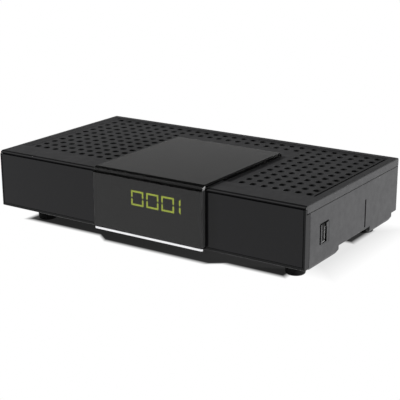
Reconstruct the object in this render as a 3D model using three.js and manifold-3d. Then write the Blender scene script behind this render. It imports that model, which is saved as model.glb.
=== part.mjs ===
// A compact set-top receiver for satellite television, in millimetres, +Z up, front towards -Y.
// The origin lies on the floor under the middle of the whole outline.
import * as THREE from 'three';
import { mergeVertices } from 'three/addons/utils/BufferGeometryUtils.js';
import Module from 'manifold-3d';

const wasm = await Module();
wasm.setup();

// Housing
const bodyWidth = 250;
const bodyDepth = 136;
const bodyHeight = 41.3;
const frameClearance = 13.2;
const wall = 2.2;
const fitGap = 0.3;
const runningGap = 0.08;
const overrun = 2;
const cornerRadius = 1.1;
const seamGroove = 0.4;

// Top cover with its perforated field
const skirtHeight = 5.2;
const coverEdgeRadius = 0.8;
const fieldRecess = 1;
const fieldFrontMargin = 21;
const fieldSideMargin = 7;
const fieldRearMargin = 5;
const ventDiameter = 5.2;
const ventPitchX = 8.315;
const ventPitchY = 9.056;
const ventSideMargin = 12.1;
const ventFrontMargin = 27.6;
const ventBreakGap = 1.43;
const fullRearRows = 2;
const lapThickness = 1.3;
const lapHeight = 3;
const coverRibWidth = 1.6;
const coverRibHeight = 3.2;

// Base shell
const baseLift = 2.7;
const baseFloor = 2.2;
const railDrop = 4.4;
const railThickness = 3;
const railBand = 2.5;
const railSlope = 1.3;
const railEndRadius = 3.2;
const frontRailEnd = 46;
const rearRailLength = 35.4;
const rearRailInset = 8.6;
const edgeChamfer = 0.8;
const sideSlitWidth = 1.5;
const sideSlitPlace = 84;
const sideSlitHeight = 21.6;
const floorVentWidth = 3;
const floorVentLength = 26;
const floorVentPitch = 8;
const floorVentSpreadShare = 0.46;
const rearWindowMargin = 13;
const rearSillHeight = 3;
const panelRibWidth = 3;

// Front frame with its two inset panels
const frameReturn = 5.3;
const frameLip = 1.2;
const frameTopDrop = 0.2;
const frameTopRadius = 1;
const frameLowRadius = 0.7;
const frameFlangeDepth = 7;
const frameFlangeHeight = 2;
const panelThickness = 1;
const panelTopRim = 2.1;
const panelLowRim = 2.3;
const panelSideRim = 1.6;
const panelTuck = 4;

// Raised centre cover and its bright strip
const centreCoverWidth = 88.4;
const centreCoverOffset = 8.6;
const centreCoverProud = 4;
const centreCoverReach = 98;
const centreCoverRise = 2;
const centreCoverWall = 1.8;
const centreCoverEdge = 0.5;
const centreCoverRearEdge = 2;
const centreCoverNose = 3.4;
const stripHeight = 1.8;
const stripCorner = 1.4;
const stripBelowFrame = 0.3;
const pegDiameter = 4;
const pegLength = 5.2;
const pegSpacing = 58;
const pegPlace = 66;

// Display behind the centre cover
const displayWidth = 52;
const displayHeight = 15;
const displayDepth = 8;
const displayEndGap = 2.8;
const displayTopMargin = 1.1;
const displayBoardHeight = 23;
const displayBoardThickness = 1.6;
const displayBoardMargin = 1.2;
const displayStandoff = 4.2;
const standoffDiameter = 6;
const receiverWidth = 7;
const receiverHeight = 8;
const receiverDepth = 4.6;
const receiverDome = 2.6;

// Feet
const footDiameter = 14.2;
const footTaper = 0.5;
const footEdgeRadius = 1.4;
const footSideInset = 20;
const footFrontInset = 25.5;
const footRearInset = 9.5;
const footRecessDiameter = 7.4;
const footRecessDepth = 4;

// Screws
const screwDiameter = 3;
const screwHeadDiameter = 5.6;
const screwHeadHeight = 1.9;
const screwSlot = 1.1;
const boardScrewLength = 6;
const footScrewLength = 14.6;
const coverScrewLength = 9;
const coverPostSideInset = 7.6;
const coverBossLength = 9.2;
const coverPostWall = 1.2;
const coverPostTop = 2.6;
const bossDiameter = 7;

// Main board and what stands on it
const boardThickness = 1.6;
const boardPostHeight = 4.2;
const boardSideGap = 4.6;
const boardFrontGap = 14;
const boardRearGap = 5.4;
const boardScrewSideInset = 6;
const boardScrewFrontInset = 12;
const boardScrewRearInset = 34;
const tunerWidth = 38;
const tunerLength = 44;
const tunerHeight = 13;
const chipSize = 24;
const chipHeight = 1.8;
const chipOffset = -6;
const chipPlace = 62;
const sinkSize = 34;
const sinkBase = 2.4;
const sinkHeight = 13;
const sinkFins = 7;
const sinkFinThickness = 1.6;
const capacitorDiameter = 8;
const capacitorHeight = 12;
const capacitorEdge = 0.7;
const capacitorPitch = 12;
const capacitorPlace = 40;
const capacitorOffset = 52;
const inductorSize = 12;
const inductorHeight = 7;
const inductorCorner = 2.4;
const headerWidth = 22;
const headerDepth = 5;
const headerHeight = 5.5;
const ribbonWidth = 18;
const ribbonThickness = 1;
const ribbonOffset = -16;

// Side socket for a memory stick, standing on edge
const usbPlace = 25.2;
const usbWidth = 5.7;
const usbHeight = 13.1;
const usbSheet = 0.3;
const usbLength = 14;
const usbTongueThickness = 1.9;
const usbTongueWidth = 11.1;
const usbTongueLength = 11.6;
const usbRecessWidth = 12.4;
const usbRecessHeight = 14.4;
const usbRecessDepth = 1;
const usbRecessCorner = 0.8;

// Rear panel with its sockets
const rearPanelThickness = 1.2;
const rearPanelCorner = 1;
const socketReach = 10;
const aerialShare = -0.7679;
const aerialDiameter = 9.5;
const aerialBore = 5.4;
const aerialBoreDepth = 2.4;
const aerialPinHole = 1.6;
const aerialPinDepth = 6;
const aerialNutWidth = 13;
const aerialNutHeight = 2.6;
const aerialLift = 10.5;
const hdmiShare = -0.4643;
const hdmiWidth = 15;
const hdmiHeight = 5.9;
const hdmiTaper = 1.6;
const hdmiSheet = 0.45;
const hdmiLength = 12;
const hdmiProud = 0.6;
const hdmiTongueWidth = 10.6;
const hdmiTongueThickness = 1.3;
const hdmiTongueLength = 6.8;
const scartShare = -0.0357;
const scartWidth = 50;
const scartHeight = 18;
const scartDepth = 13;
const scartBevel = 5;
const scartRim = 2.2;
const scartGroove = 1.6;
const scartGrooveDepth = 8;
const scartProud = 1;
const scartSlotWidth = 1.2;
const scartSlotHeight = 4.2;
const scartSlotDepth = 6;
const scartSlotPitch = 3.8;
const scartRowSpacing = 7.6;
const scartContacts = 10;
const audioShare = 0.375;
const audioBodyWidth = 11;
const audioBodyHeight = 13;
const audioBodyDepth = 10;
const audioDiameter = 8.3;
const audioFlangeDiameter = 10.4;
const audioBore = 3.3;
const audioBoreDepth = 7;
const audioReach = 8;
const powerShare = 0.5893;
const powerBodyWidth = 9;
const powerBodyHeight = 11;
const powerBodyDepth = 14;
const powerNoseDiameter = 8.2;
const powerProud = 0.6;
const powerBore = 6.3;
const powerBoreDepth = 9;
const powerPinDiameter = 2;
const powerPinLength = 7.6;

// Rocker switch in the rear panel
const switchShare = 0.8393;
const switchFlangeWidth = 15;
const switchFlangeHeight = 21;
const switchFlangeThickness = 1.7;
const switchBodyWidth = 13;
const switchBodyHeight = 19;
const switchBodyDepth = 12;
const switchWall = 1.6;
const rockerRadius = 7.4;
const rockerPivotDepth = 3;
const rockerEndRise = 3.6;
const rockerMidRise = 2.3;
const rockerBack = 1.6;
const rockerSkirt = 1.8;
const rockerTilt = THREE.MathUtils.degToRad(7);
const rockerPinDiameter = 2;
const rockerPinLength = 0.9;

// Standby key in the left side wall
const keyPlace = 36;
const keyLift = 5.4;
const keyLength = 9;
const keyHeight = 4.4;
const keyProud = 1;
const keyFlange = 1;
const keyFlangeThickness = 1;
const keyStemDiameter = 3;
const keyTravel = 0.5;
const keyCollar = 1.4;
const keyCollarDepth = 3.4;
const tactWidth = 6.2;
const tactHeight = 7.2;
const tactDepth = 3.5;
const plungerDiameter = 3;
const plungerLength = 1.6;

// Facets on round forms
const fineSides = 18;
const roundSides = 16;
const ventSides = 6;
const smallSides = 8;
const arcSteps = 3;

// Places that follow from the sizes
const frontY = -(centreCoverProud + bodyDepth + socketReach) / 2 + centreCoverProud;
const rearY = frontY + bodyDepth;
const sideX = bodyWidth / 2;
const topZ = frameClearance + bodyHeight;
const baseZ = frameClearance + baseLift;
const floorZ = baseZ + baseFloor;
const railZ = baseZ - railDrop;
const seamZ = topZ - skirtHeight;
const baseTopZ = seamZ - seamGroove;
const fieldZ = topZ - fieldRecess;
const coverInnerZ = fieldZ - wall;
const innerX = sideX - wall;
const fieldFrontY = frontY + fieldFrontMargin;
const fieldRearY = rearY - fieldRearMargin;
const coverFrontY = frontY + frameLip + fitGap;
const centreLeftX = centreCoverOffset - centreCoverWidth / 2;
const centreRightX = centreCoverOffset + centreCoverWidth / 2;
const displayOffset = centreRightX - panelTuck - displayEndGap - displayWidth / 2;
const centreFrontY = frontY - centreCoverProud;
const centreRearY = frontY + centreCoverReach;
const centreTopZ = topZ + centreCoverRise;
const stripLowZ = frameClearance - stripBelowFrame;
const stripTopZ = stripLowZ + stripHeight;
const boardLowZ = floorZ + boardPostHeight + fitGap;
const boardTopZ = boardLowZ + boardThickness;
const boardFrontY = frontY + boardFrontGap;
const boardRearY = rearY - boardRearGap;
const boardX = sideX - boardSideGap;
const panelOuterY = rearY - wall - fitGap;
const panelInnerY = panelOuterY - rearPanelThickness;
const panelLowZ = floorZ + fitGap;
const panelTopZ = baseTopZ - fitGap;
const windowX = sideX - rearWindowMargin;
const aerialOffset = aerialShare * windowX;
const hdmiOffset = hdmiShare * windowX;
const scartOffset = scartShare * windowX;
const audioOffset = audioShare * windowX;
const powerOffset = powerShare * windowX;
const switchOffset = switchShare * windowX;
const switchZ = (floorZ + rearSillHeight + baseTopZ) / 2;
const displayFrontY = centreFrontY + centreCoverWall + fitGap;
const displayBoardFrontY = displayFrontY + displayDepth + fitGap;
const displayBoardRearY = displayBoardFrontY + displayBoardThickness;
const displayBoardTopZ = coverInnerZ - fitGap - frameFlangeHeight - fitGap;
const displayBoardLowZ = displayBoardTopZ - displayBoardHeight;
const displayZ = displayBoardTopZ - displayTopMargin - displayHeight / 2;
const usbZ = boardTopZ + fitGap + usbHeight / 2;
const usbY = frontY + usbPlace;
const usbMouthX = sideX - usbRecessDepth - fitGap;
const keyY = frontY + keyPlace;
const keyZ = boardTopZ + keyLift;
const bore = screwDiameter + 2 * fitGap;

// Solids from three.js geometry

function solid(geometry) {
  const bare = geometry.clone();
  bare.deleteAttribute('normal');
  bare.deleteAttribute('uv');
  const merged = mergeVertices(bare);
  return new wasm.Manifold(new wasm.Mesh({
    numProp: 3,
    vertProperties: new Float32Array(merged.attributes.position.array),
    triVerts: new Uint32Array(merged.index.array),
  }));
}

function box([x0, x1], [y0, y1], [z0, z1]) {
  const geometry = new THREE.BoxGeometry(x1 - x0, y1 - y0, z1 - z0);
  geometry.translate((x0 + x1) / 2, (y0 + y1) / 2, (z0 + z1) / 2);
  return solid(geometry);
}

// An outline drawn in the plane square to an axis, carried along that axis from one place to another.
// Square to X the outline reads (y, z), square to Y it reads (x, z), and square to Z it reads (x, y).
function prism(shape, axis, from, to, { bevel = 0, steps = arcSteps } = {}) {
  const geometry = new THREE.ExtrudeGeometry(shape, {
    depth: to - from - 2 * bevel,
    bevelEnabled: bevel > 0,
    bevelThickness: bevel,
    bevelSize: bevel,
    bevelOffset: -bevel,
    bevelSegments: steps,
    curveSegments: steps,
  });
  geometry.translate(0, 0, bevel);
  const x = new THREE.Vector3(1, 0, 0);
  const y = new THREE.Vector3(0, 1, 0);
  const z = new THREE.Vector3(0, 0, 1);
  const turn = new THREE.Matrix4();
  if (axis === 'x') turn.makeBasis(y, z, x).setPosition(from, 0, 0);
  if (axis === 'y') turn.makeBasis(x, z, y.negate()).setPosition(0, to, 0);
  if (axis === 'z') turn.makeBasis(x, y, z).setPosition(0, 0, from);
  return solid(geometry.applyMatrix4(turn));
}

function outline(points) {
  return new THREE.Shape(points.map(([u, v]) => new THREE.Vector2(u, v)));
}

function roundedRectangle(u, v, width, height, radius) {
  const shape = new THREE.Shape();
  const right = u + width / 2 - radius;
  const left = u - width / 2 + radius;
  const top = v + height / 2 - radius;
  const low = v - height / 2 + radius;
  shape.absarc(right, low, radius, -Math.PI / 2, 0, false);
  shape.absarc(right, top, radius, 0, Math.PI / 2, false);
  shape.absarc(left, top, radius, Math.PI / 2, Math.PI, false);
  shape.absarc(left, low, radius, Math.PI, Math.PI * 1.5, false);
  shape.closePath();
  return shape;
}

// A round form from pairs of radius and height along its axis, lowest first.
function turned(profile, axis, [x, y, z], sides = roundSides) {
  const points = profile.map(([r, h]) => new THREE.Vector2(r, h));
  const geometry = new THREE.LatheGeometry(points, sides);
  if (axis === 'z') geometry.rotateX(Math.PI / 2);
  if (axis === 'x') geometry.rotateZ(-Math.PI / 2);
  return solid(geometry.translate(x, y, z));
}

function rod(diameter, axis, from, to, [u, v], sides = roundSides) {
  const profile = [[0, from], [diameter / 2, from], [diameter / 2, to], [0, to]];
  const place = { x: [0, u, v], y: [u, 0, v], z: [u, v, 0] }[axis];
  return turned(profile, axis, place, sides);
}

function joined(parts) {
  return parts.reduce((whole, part) => whole.add(part));
}

const finishes = {
  matteBlack: { color: 0x1d1d1f, roughness: 0.62, metalness: 0 },
  satinBlack: { color: 0x18181a, roughness: 0.42, metalness: 0 },
  glossBlack: { color: 0x0c0c0e, roughness: 0.12, metalness: 0 },
  rubber: { color: 0x0b0b0b, roughness: 0.9, metalness: 0 },
  chrome: { color: 0xe6e6ea, roughness: 0.12, metalness: 1 },
  steel: { color: 0xb4b6b8, roughness: 0.35, metalness: 1 },
  aluminium: { color: 0x9a9c9e, roughness: 0.45, metalness: 1 },
  circuitGreen: { color: 0x14502c, roughness: 0.5, metalness: 0 },
  darkGlass: { color: 0x101410, roughness: 0.1, metalness: 0 },
  whitePlastic: { color: 0xd8d8d4, roughness: 0.5, metalness: 0 },
  orangePlastic: { color: 0xd0641c, roughness: 0.5, metalness: 0 },
  greyPlastic: { color: 0x6c6e70, roughness: 0.6, metalness: 0 },
};

// The key stands out on the left only, so the housing sits half of that to the right of the origin.
const receiver = new THREE.Group();
receiver.position.x = keyProud / 2;

function add(name, body, finish) {
  const { vertProperties, triVerts } = body.getMesh();
  const geometry = new THREE.BufferGeometry();
  geometry.setAttribute('position', new THREE.BufferAttribute(vertProperties, 3));
  geometry.setIndex(new THREE.BufferAttribute(triVerts, 1));
  geometry.computeVertexNormals();
  const mesh = new THREE.Mesh(geometry, new THREE.MeshStandardMaterial(finishes[finish]));
  mesh.name = name;
  receiver.add(mesh);
}

// The four foot places, the four board screws and the two cover screws

const footPlaces = [
  { name: 'front_left', x: -sideX + footSideInset, y: frontY + footFrontInset },
  { name: 'front_right', x: sideX - footSideInset, y: frontY + footFrontInset },
  { name: 'rear_left', x: -sideX + footSideInset, y: rearY - footRearInset },
  { name: 'rear_right', x: sideX - footSideInset, y: rearY - footRearInset },
];

const boardScrewPlaces = [
  { name: 'front_left', x: -boardX + boardScrewSideInset, y: boardFrontY + boardScrewFrontInset },
  { name: 'front_right', x: boardX - boardScrewSideInset - usbLength, y: boardFrontY + boardScrewFrontInset },
  { name: 'rear_left', x: -boardX + boardScrewSideInset, y: boardRearY - boardScrewRearInset },
  { name: 'rear_right', x: boardX - boardScrewSideInset, y: boardRearY - boardScrewRearInset },
];

const coverScrewX = sideX - coverPostSideInset;
const ventFirstX = -sideX + ventSideMargin;
const ventFirstY = frontY + ventFrontMargin;
const ventRows = Math.floor((fieldRearY - ventFirstY - ventDiameter / 2) / ventPitchY) + 1;
const coverScrewY = ventFirstY + (ventRows - 1.5) * ventPitchY;
const coverPostTopZ = coverInnerZ - coverBossLength;
const coverWellDiameter = screwHeadDiameter + 2 * fitGap;
const coverPostDiameter = coverWellDiameter + 2 * coverPostWall;

// Top cover: a shallow moulded lid with a lap inside each side wall and a lowered perforated field

function ventPlaces() {
  const columns = Math.round((bodyWidth - 2 * ventSideMargin - ventBreakGap) / ventPitchX) + 1;
  const places = [];
  for (let column = 0; column < columns; column += 1) {
    const beyond = ventFirstX + column * ventPitchX > centreRightX;
    const x = ventFirstX + column * ventPitchX + (beyond ? ventBreakGap : 0);
    const besideCentre = x < centreLeftX - ventDiameter || x > centreRightX + ventDiameter;
    for (let row = 0; row < ventRows; row += 1) {
      const y = ventFirstY + row * ventPitchY;
      const behindCentre = row >= ventRows - fullRearRows;
      if (besideCentre || behindCentre) places.push([x, y]);
    }
  }
  return places;
}

function topCover() {
  const depth = rearY - coverFrontY;
  const middleY = (rearY + coverFrontY) / 2;
  const plan = roundedRectangle(0, middleY, bodyWidth, depth, cornerRadius);
  let cover = prism(plan, 'z', seamZ - overrun, topZ, { bevel: coverEdgeRadius });
  cover = cover.subtract(box([-sideX - overrun, sideX + overrun], [coverFrontY - overrun, rearY + overrun],
    [seamZ - 2 * overrun, seamZ]));
  const hollowFrontY = coverFrontY - overrun;
  cover = cover.subtract(box([-innerX, innerX], [hollowFrontY, rearY - wall], [seamZ - overrun, coverInnerZ]));
  cover = cover.subtract(box([-sideX + fieldSideMargin, sideX - fieldSideMargin], [fieldFrontY, fieldRearY],
    [fieldZ, topZ + overrun]));
  const lapX = innerX - fitGap;
  const lapFrontY = frontY + frameReturn + fitGap;
  const lapRearY = coverScrewY - coverPostDiameter / 2 - fitGap;
  for (const side of [-1, 1]) {
    const across = [side * lapX, side * (lapX - lapThickness)].sort((a, b) => a - b);
    const root = [side * (innerX + fitGap), side * (lapX - lapThickness)].sort((a, b) => a - b);
    cover = cover.add(box(across, [lapFrontY, lapRearY], [seamZ - lapHeight, coverInnerZ + fitGap]));
    cover = cover.add(box(root, [lapFrontY, lapRearY], [seamZ + fitGap, coverInnerZ + fitGap]));
    const ribX = side > 0 ? centreRightX + ventDiameter : centreLeftX - ventDiameter;
    const ribMiddle = ribX - side * (coverRibWidth / 2 + fitGap);
    cover = cover.add(box([ribMiddle - coverRibWidth / 2, ribMiddle + coverRibWidth / 2],
      [fieldFrontY, centreRearY], [coverInnerZ - coverRibHeight, coverInnerZ + fitGap]));
    const post = [side * coverScrewX, coverScrewY];
    cover = cover.add(rod(bossDiameter, 'z', coverPostTopZ + fitGap, coverInnerZ + fitGap, post));
    cover = cover.subtract(rod(bore, 'z', coverPostTopZ, coverInnerZ, post, smallSides));
  }
  for (const [x, y] of ventPlaces()) {
    cover = cover.subtract(rod(ventDiameter, 'z', coverInnerZ - overrun, topZ, [x, y], ventSides));
  }
  for (const side of [-1, 1]) {
    const place = [centreCoverOffset + side * pegSpacing / 2, frontY + pegPlace];
    cover = cover.subtract(rod(pegDiameter + 2 * fitGap, 'z', coverInnerZ - overrun, topZ, place, smallSides));
  }
  return cover;
}

// Base shell: floor, side walls and a rear frame, on two low rails along each side

function rail(side, startY, endY) {
  const face = new THREE.Shape();
  const lowZ = railZ + railEndRadius;
  face.moveTo(startY, baseZ + baseFloor);
  face.lineTo(startY, lowZ);
  face.absarc(startY + railEndRadius, lowZ, railEndRadius, Math.PI, Math.PI * 1.5, false);
  face.absarc(endY - railEndRadius, lowZ, railEndRadius, Math.PI * 1.5, Math.PI * 2, false);
  face.lineTo(endY, baseZ + baseFloor);
  const inner = side * (sideX - railThickness);
  const section = outline([
    [side * sideX, baseZ + baseFloor],
    [inner, baseZ + baseFloor],
    [inner, railZ],
    [side * (sideX - railSlope), railZ],
    [side * sideX, railZ + railBand],
  ]);
  const across = [side * (sideX + overrun), inner - side * overrun].sort((a, b) => a - b);
  const seenFromSide = prism(face, 'x', across[0], across[1]);
  return seenFromSide.intersect(prism(section, 'y', startY - overrun, endY + overrun));
}

function baseShell() {
  const frontEdgeY = frontY + frameReturn + fitGap;
  const depth = rearY - frontEdgeY;
  const plan = roundedRectangle(0, (rearY + frontEdgeY) / 2, bodyWidth, depth, cornerRadius);
  let base = prism(plan, 'z', baseZ, baseTopZ + overrun, { bevel: edgeChamfer, steps: 1 });
  base = base.subtract(box([-sideX - overrun, sideX + overrun], [frontEdgeY - overrun, rearY + overrun],
    [baseTopZ, baseTopZ + 2 * overrun]));
  base = base.subtract(box([-innerX, innerX], [frontEdgeY - overrun, rearY - wall], [floorZ, baseTopZ + overrun]));
  base = base.subtract(box([-windowX, windowX], [rearY - wall - overrun, rearY + overrun],
    [floorZ + rearSillHeight, baseTopZ + overrun]));
  for (const side of [-1, 1]) {
    base = base.add(rail(side, frontEdgeY, frontY + frontRailEnd));
    base = base.add(rail(side, rearY - rearRailInset - rearRailLength, rearY - rearRailInset));
    const ribEnds = [side * (windowX + fitGap), side * (innerX + fitGap)].sort((a, b) => a - b);
    const ribY = panelInnerY - fitGap;
    base = base.add(box(ribEnds, [ribY - panelRibWidth, ribY], [floorZ - fitGap, seamZ - lapHeight]));
    const post = [side * coverScrewX, coverScrewY];
    base = base.add(rod(coverPostDiameter, 'z', floorZ - fitGap, coverPostTopZ, post));
    base = base.subtract(rod(coverWellDiameter, 'z', baseZ - overrun, coverPostTopZ - coverPostTop, post));
    base = base.subtract(rod(bore, 'z', baseZ, coverPostTopZ + overrun, post, smallSides));
    const slit = [side * (innerX - overrun), side * (sideX + overrun)].sort((a, b) => a - b);
    const slitY = frontY + sideSlitPlace;
    base = base.subtract(box(slit, [slitY - sideSlitWidth / 2, slitY + sideSlitWidth / 2],
      [floorZ, baseZ + sideSlitHeight]));
  }
  for (const { x, y } of boardScrewPlaces) {
    base = base.add(rod(bossDiameter, 'z', floorZ - fitGap, boardLowZ - fitGap, [x, y]));
    base = base.subtract(rod(bore, 'z', floorZ, boardLowZ, [x, y], smallSides));
  }
  for (const { x, y } of footPlaces) {
    base = base.subtract(rod(bore, 'z', baseZ - overrun, floorZ + overrun, [x, y], smallSides));
  }
  base = floorVents(base);
  base = usbWindow(base);
  return keyOpening(base);
}

function floorVents(base) {
  const rows = Math.floor(floorVentSpreadShare * bodyDepth / floorVentPitch) + 1;
  const middleY = frontY + bodyDepth / 2;
  for (const side of [-1, 1]) {
    for (let row = 0; row < rows; row += 1) {
      const y = middleY + (row - (rows - 1) / 2) * floorVentPitch;
      const x = side * bodyWidth / 4;
      base = base.subtract(box([x - floorVentLength / 2, x + floorVentLength / 2],
        [y - floorVentWidth / 2, y + floorVentWidth / 2], [baseZ - overrun, floorZ + overrun]));
    }
  }
  return base;
}

function usbWindow(base) {
  const recess = roundedRectangle(usbY, usbZ, usbRecessWidth, usbRecessHeight, usbRecessCorner);
  const mouth = [usbWidth + 2 * fitGap, usbHeight + 2 * fitGap];
  base = base.subtract(prism(recess, 'x', sideX - usbRecessDepth, sideX + overrun, { steps: 1 }));
  return base.subtract(box([innerX - overrun, sideX + overrun], [usbY - mouth[0] / 2, usbY + mouth[0] / 2],
    [usbZ - mouth[1] / 2, usbZ + mouth[1] / 2]));
}

function keyOpening(base) {
  const collarLength = keyLength + 2 * (keyFlange + fitGap + keyCollar);
  const collarHeight = keyHeight + 2 * (keyFlange + fitGap + keyCollar);
  const guide = (grow) => roundedRectangle(keyY, keyZ, keyLength + 2 * grow, keyHeight + 2 * grow,
    keyHeight / 2 + grow);
  const collar = prism(roundedRectangle(keyY, keyZ, collarLength, collarHeight, collarHeight / 2), 'x',
    -innerX - fitGap, -innerX + keyCollarDepth);
  const pocket = prism(guide(keyFlange + fitGap), 'x', -innerX, -innerX + keyCollarDepth + overrun);
  base = base.add(collar).subtract(pocket);
  return base.subtract(prism(guide(fitGap), 'x', -sideX - overrun, -innerX + overrun));
}

// Front frame: a face with two sunk seats, a window for the display and returns on all sides

function frontFrame() {
  const frameTopZ = topZ - frameTopDrop;
  const face = new THREE.Shape();
  face.moveTo(frontY + frameReturn, frameClearance);
  face.lineTo(frontY + frameReturn, coverInnerZ - fitGap);
  face.lineTo(frontY + frameLip, coverInnerZ - fitGap);
  face.lineTo(frontY + frameLip, frameTopZ);
  face.absarc(frontY + frameTopRadius, frameTopZ - frameTopRadius, frameTopRadius, Math.PI / 2, Math.PI, false);
  face.absarc(frontY + frameLowRadius, frameClearance + frameLowRadius, frameLowRadius, Math.PI, Math.PI * 1.5, false);
  let frame = prism(face, 'x', -sideX, sideX);
  const behind = [frontY + wall, frontY + frameReturn + overrun];
  frame = frame.subtract(box([-innerX, innerX], behind,
    [frameClearance + wall, coverInnerZ - fitGap - frameFlangeHeight]));
  for (const side of [-1, 1]) {
    const corner = [side * (innerX - fitGap), side * (sideX + overrun)].sort((a, b) => a - b);
    frame = frame.subtract(box(corner, [coverFrontY - fitGap, frontY + frameReturn + overrun],
      [seamZ - seamGroove, topZ]));
  }
  const flangeX = innerX - lapThickness - 2 * fitGap;
  frame = frame.add(box([-flangeX, flangeX], [frontY + wall, frontY + frameReturn + frameFlangeDepth],
    [coverInnerZ - fitGap - frameFlangeHeight, coverInnerZ - fitGap]));
  const seatY = [frontY - overrun, frontY + panelThickness + fitGap];
  for (const [x0, x1] of panelSpans()) {
    const seat = panelPlate([x0 - fitGap, x1 + fitGap], seatY, fitGap);
    frame = frame.subtract(seat);
  }
  for (const { x, z } of standoffPlaces()) {
    const reach = displayBoardFrontY - fitGap;
    frame = frame.add(rod(standoffDiameter, 'y', frontY + wall - fitGap, reach, [x, z]));
    const hole = rod(bore, 'y', frontY + wall, reach + overrun, [x, z], smallSides);
    frame = frame.subtract(hole);
  }
  const window = [displayWidth + 2 * fitGap, displayHeight + 2 * fitGap];
  frame = frame.subtract(box([displayOffset - window[0] / 2, displayOffset + window[0] / 2],
    [frontY - overrun, frontY + wall + overrun], [displayZ - window[1] / 2, displayZ + window[1] / 2]));
  return frame.subtract(box(grown(receiverX(), receiverWidth), [frontY - overrun, frontY + wall + overrun],
    grown(displayZ, receiverHeight)));
}

function panelSpans() {
  return [
    [-sideX + panelSideRim, centreLeftX + panelTuck],
    [centreRightX - panelTuck, sideX - panelSideRim],
  ];
}

function panelPlate([x0, x1], [y0, y1], grow) {
  const lowZ = frameClearance + panelLowRim - grow;
  const highZ = topZ - panelTopRim - fitGap + grow;
  return box([x0, x1], [y0, y1], [lowZ, highZ]);
}

function receiverX() {
  return (centreLeftX + panelTuck + displayOffset - displayWidth / 2) / 2;
}

function standoffPlaces() {
  const x0 = receiverX() - receiverWidth / 2 - fitGap - standoffDiameter / 2;
  const x1 = displayOffset + displayWidth / 2 + fitGap + standoffDiameter / 2;
  const z = (displayBoardLowZ + displayBoardTopZ) / 2;
  return [
    { name: 'left', x: x0, z },
    { name: 'right', x: x1, z },
  ];
}

// Centre cover: one bent piece, its top lying on the cover and its front standing before the frame

function centreCover() {
  const behind = frontY - fitGap;
  const profile = new THREE.Shape();
  const noseY = centreFrontY + centreCoverNose;
  const noseZ = centreTopZ - centreCoverNose;
  profile.moveTo(centreFrontY, stripTopZ + fitGap - overrun);
  profile.lineTo(behind + overrun, stripTopZ + fitGap - overrun);
  profile.lineTo(behind + overrun, fieldZ - overrun);
  profile.lineTo(centreRearY, fieldZ - overrun);
  profile.absarc(centreRearY - centreCoverRearEdge, centreTopZ - centreCoverRearEdge, centreCoverRearEdge,
    0, Math.PI / 2, false);
  profile.absarc(noseY, noseZ, centreCoverNose, Math.PI / 2, Math.PI, false);
  let cover = prism(profile, 'x', centreLeftX, centreRightX, { bevel: centreCoverEdge });
  const across = [centreLeftX - overrun, centreRightX + overrun];
  const beyondY = centreRearY + overrun;
  cover = cover.subtract(box(across, [behind, beyondY], [stripLowZ - overrun, fieldZ + fitGap]));
  cover = cover.subtract(box(across, [behind, fieldFrontY], [stripLowZ - overrun, topZ + fitGap]));
  cover = cover.subtract(box(across, [centreFrontY - overrun, beyondY], [stripLowZ - 2 * overrun, stripTopZ + fitGap]));
  cover = cover.subtract(box([centreLeftX + centreCoverWall, centreRightX - centreCoverWall],
    [centreFrontY + centreCoverWall, behind + overrun], [stripTopZ + fitGap + centreCoverWall, topZ - fitGap]));
  for (const side of [-1, 1]) {
    const place = [centreCoverOffset + side * pegSpacing / 2, frontY + pegPlace];
    cover = cover.add(rod(pegDiameter, 'z', fieldZ - pegLength, fieldZ + 2 * fitGap, place, smallSides));
  }
  return cover;
}

function brightStrip() {
  const depth = centreCoverProud - fitGap;
  const plan = roundedRectangle(centreCoverOffset, centreFrontY + depth / 2, centreCoverWidth, depth, stripCorner);
  return prism(plan, 'z', stripLowZ, stripTopZ);
}

// Rear panel: a sheet standing in the base, cut out for each socket

function rearPanel() {
  const width = 2 * (innerX - fitGap);
  const height = panelTopZ - panelLowZ;
  const plate = roundedRectangle(0, (panelTopZ + panelLowZ) / 2, width, height, rearPanelCorner);
  let panel = prism(plate, 'y', panelInnerY, panelOuterY, { steps: 1 });
  const through = [panelInnerY - overrun, panelOuterY + overrun];
  const cuts = [
    rod(aerialDiameter + 2 * fitGap, 'y', ...through, [aerialOffset, aerialZ()]),
    prism(hdmiOutline(fitGap), 'y', ...through),
    prism(scartOutline(fitGap), 'y', ...through),
    rod(audioFlangeDiameter + 2 * fitGap, 'y', ...through, [audioOffset, audioZ()]),
    rod(powerNoseDiameter + 2 * fitGap, 'y', ...through, [powerOffset, powerZ()]),
    box(grown(switchOffset, switchBodyWidth), through, grown(switchZ, switchBodyHeight)),
  ];
  for (const cut of cuts) panel = panel.subtract(cut);
  return panel;
}

function grown(middle, size) {
  return [middle - size / 2 - fitGap, middle + size / 2 + fitGap];
}

function aerialZ() {
  return boardTopZ + aerialLift;
}

function hdmiZ() {
  return boardTopZ + fitGap + hdmiHeight / 2;
}

function scartZ() {
  return boardTopZ + fitGap + scartHeight / 2;
}

function audioZ() {
  return boardTopZ + fitGap + audioBodyHeight / 2;
}

function powerZ() {
  return boardTopZ + fitGap + powerBodyHeight / 2;
}

function hdmiOutline(grow) {
  const half = hdmiWidth / 2 + grow;
  const low = hdmiZ() - hdmiHeight / 2 - grow;
  const high = hdmiZ() + hdmiHeight / 2 + grow;
  return outline([
    [hdmiOffset - half + hdmiTaper, low],
    [hdmiOffset + half - hdmiTaper, low],
    [hdmiOffset + half, low + hdmiTaper],
    [hdmiOffset + half, high],
    [hdmiOffset - half, high],
    [hdmiOffset - half, low + hdmiTaper],
  ]);
}

function scartOutline(grow) {
  const half = scartWidth / 2 + grow;
  const low = scartZ() - scartHeight / 2 - grow;
  const high = scartZ() + scartHeight / 2 + grow;
  return outline([
    [scartOffset - half, low],
    [scartOffset + half, low],
    [scartOffset + half, high - scartBevel],
    [scartOffset + half - scartBevel, high],
    [scartOffset - half, high],
  ]);
}

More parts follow.
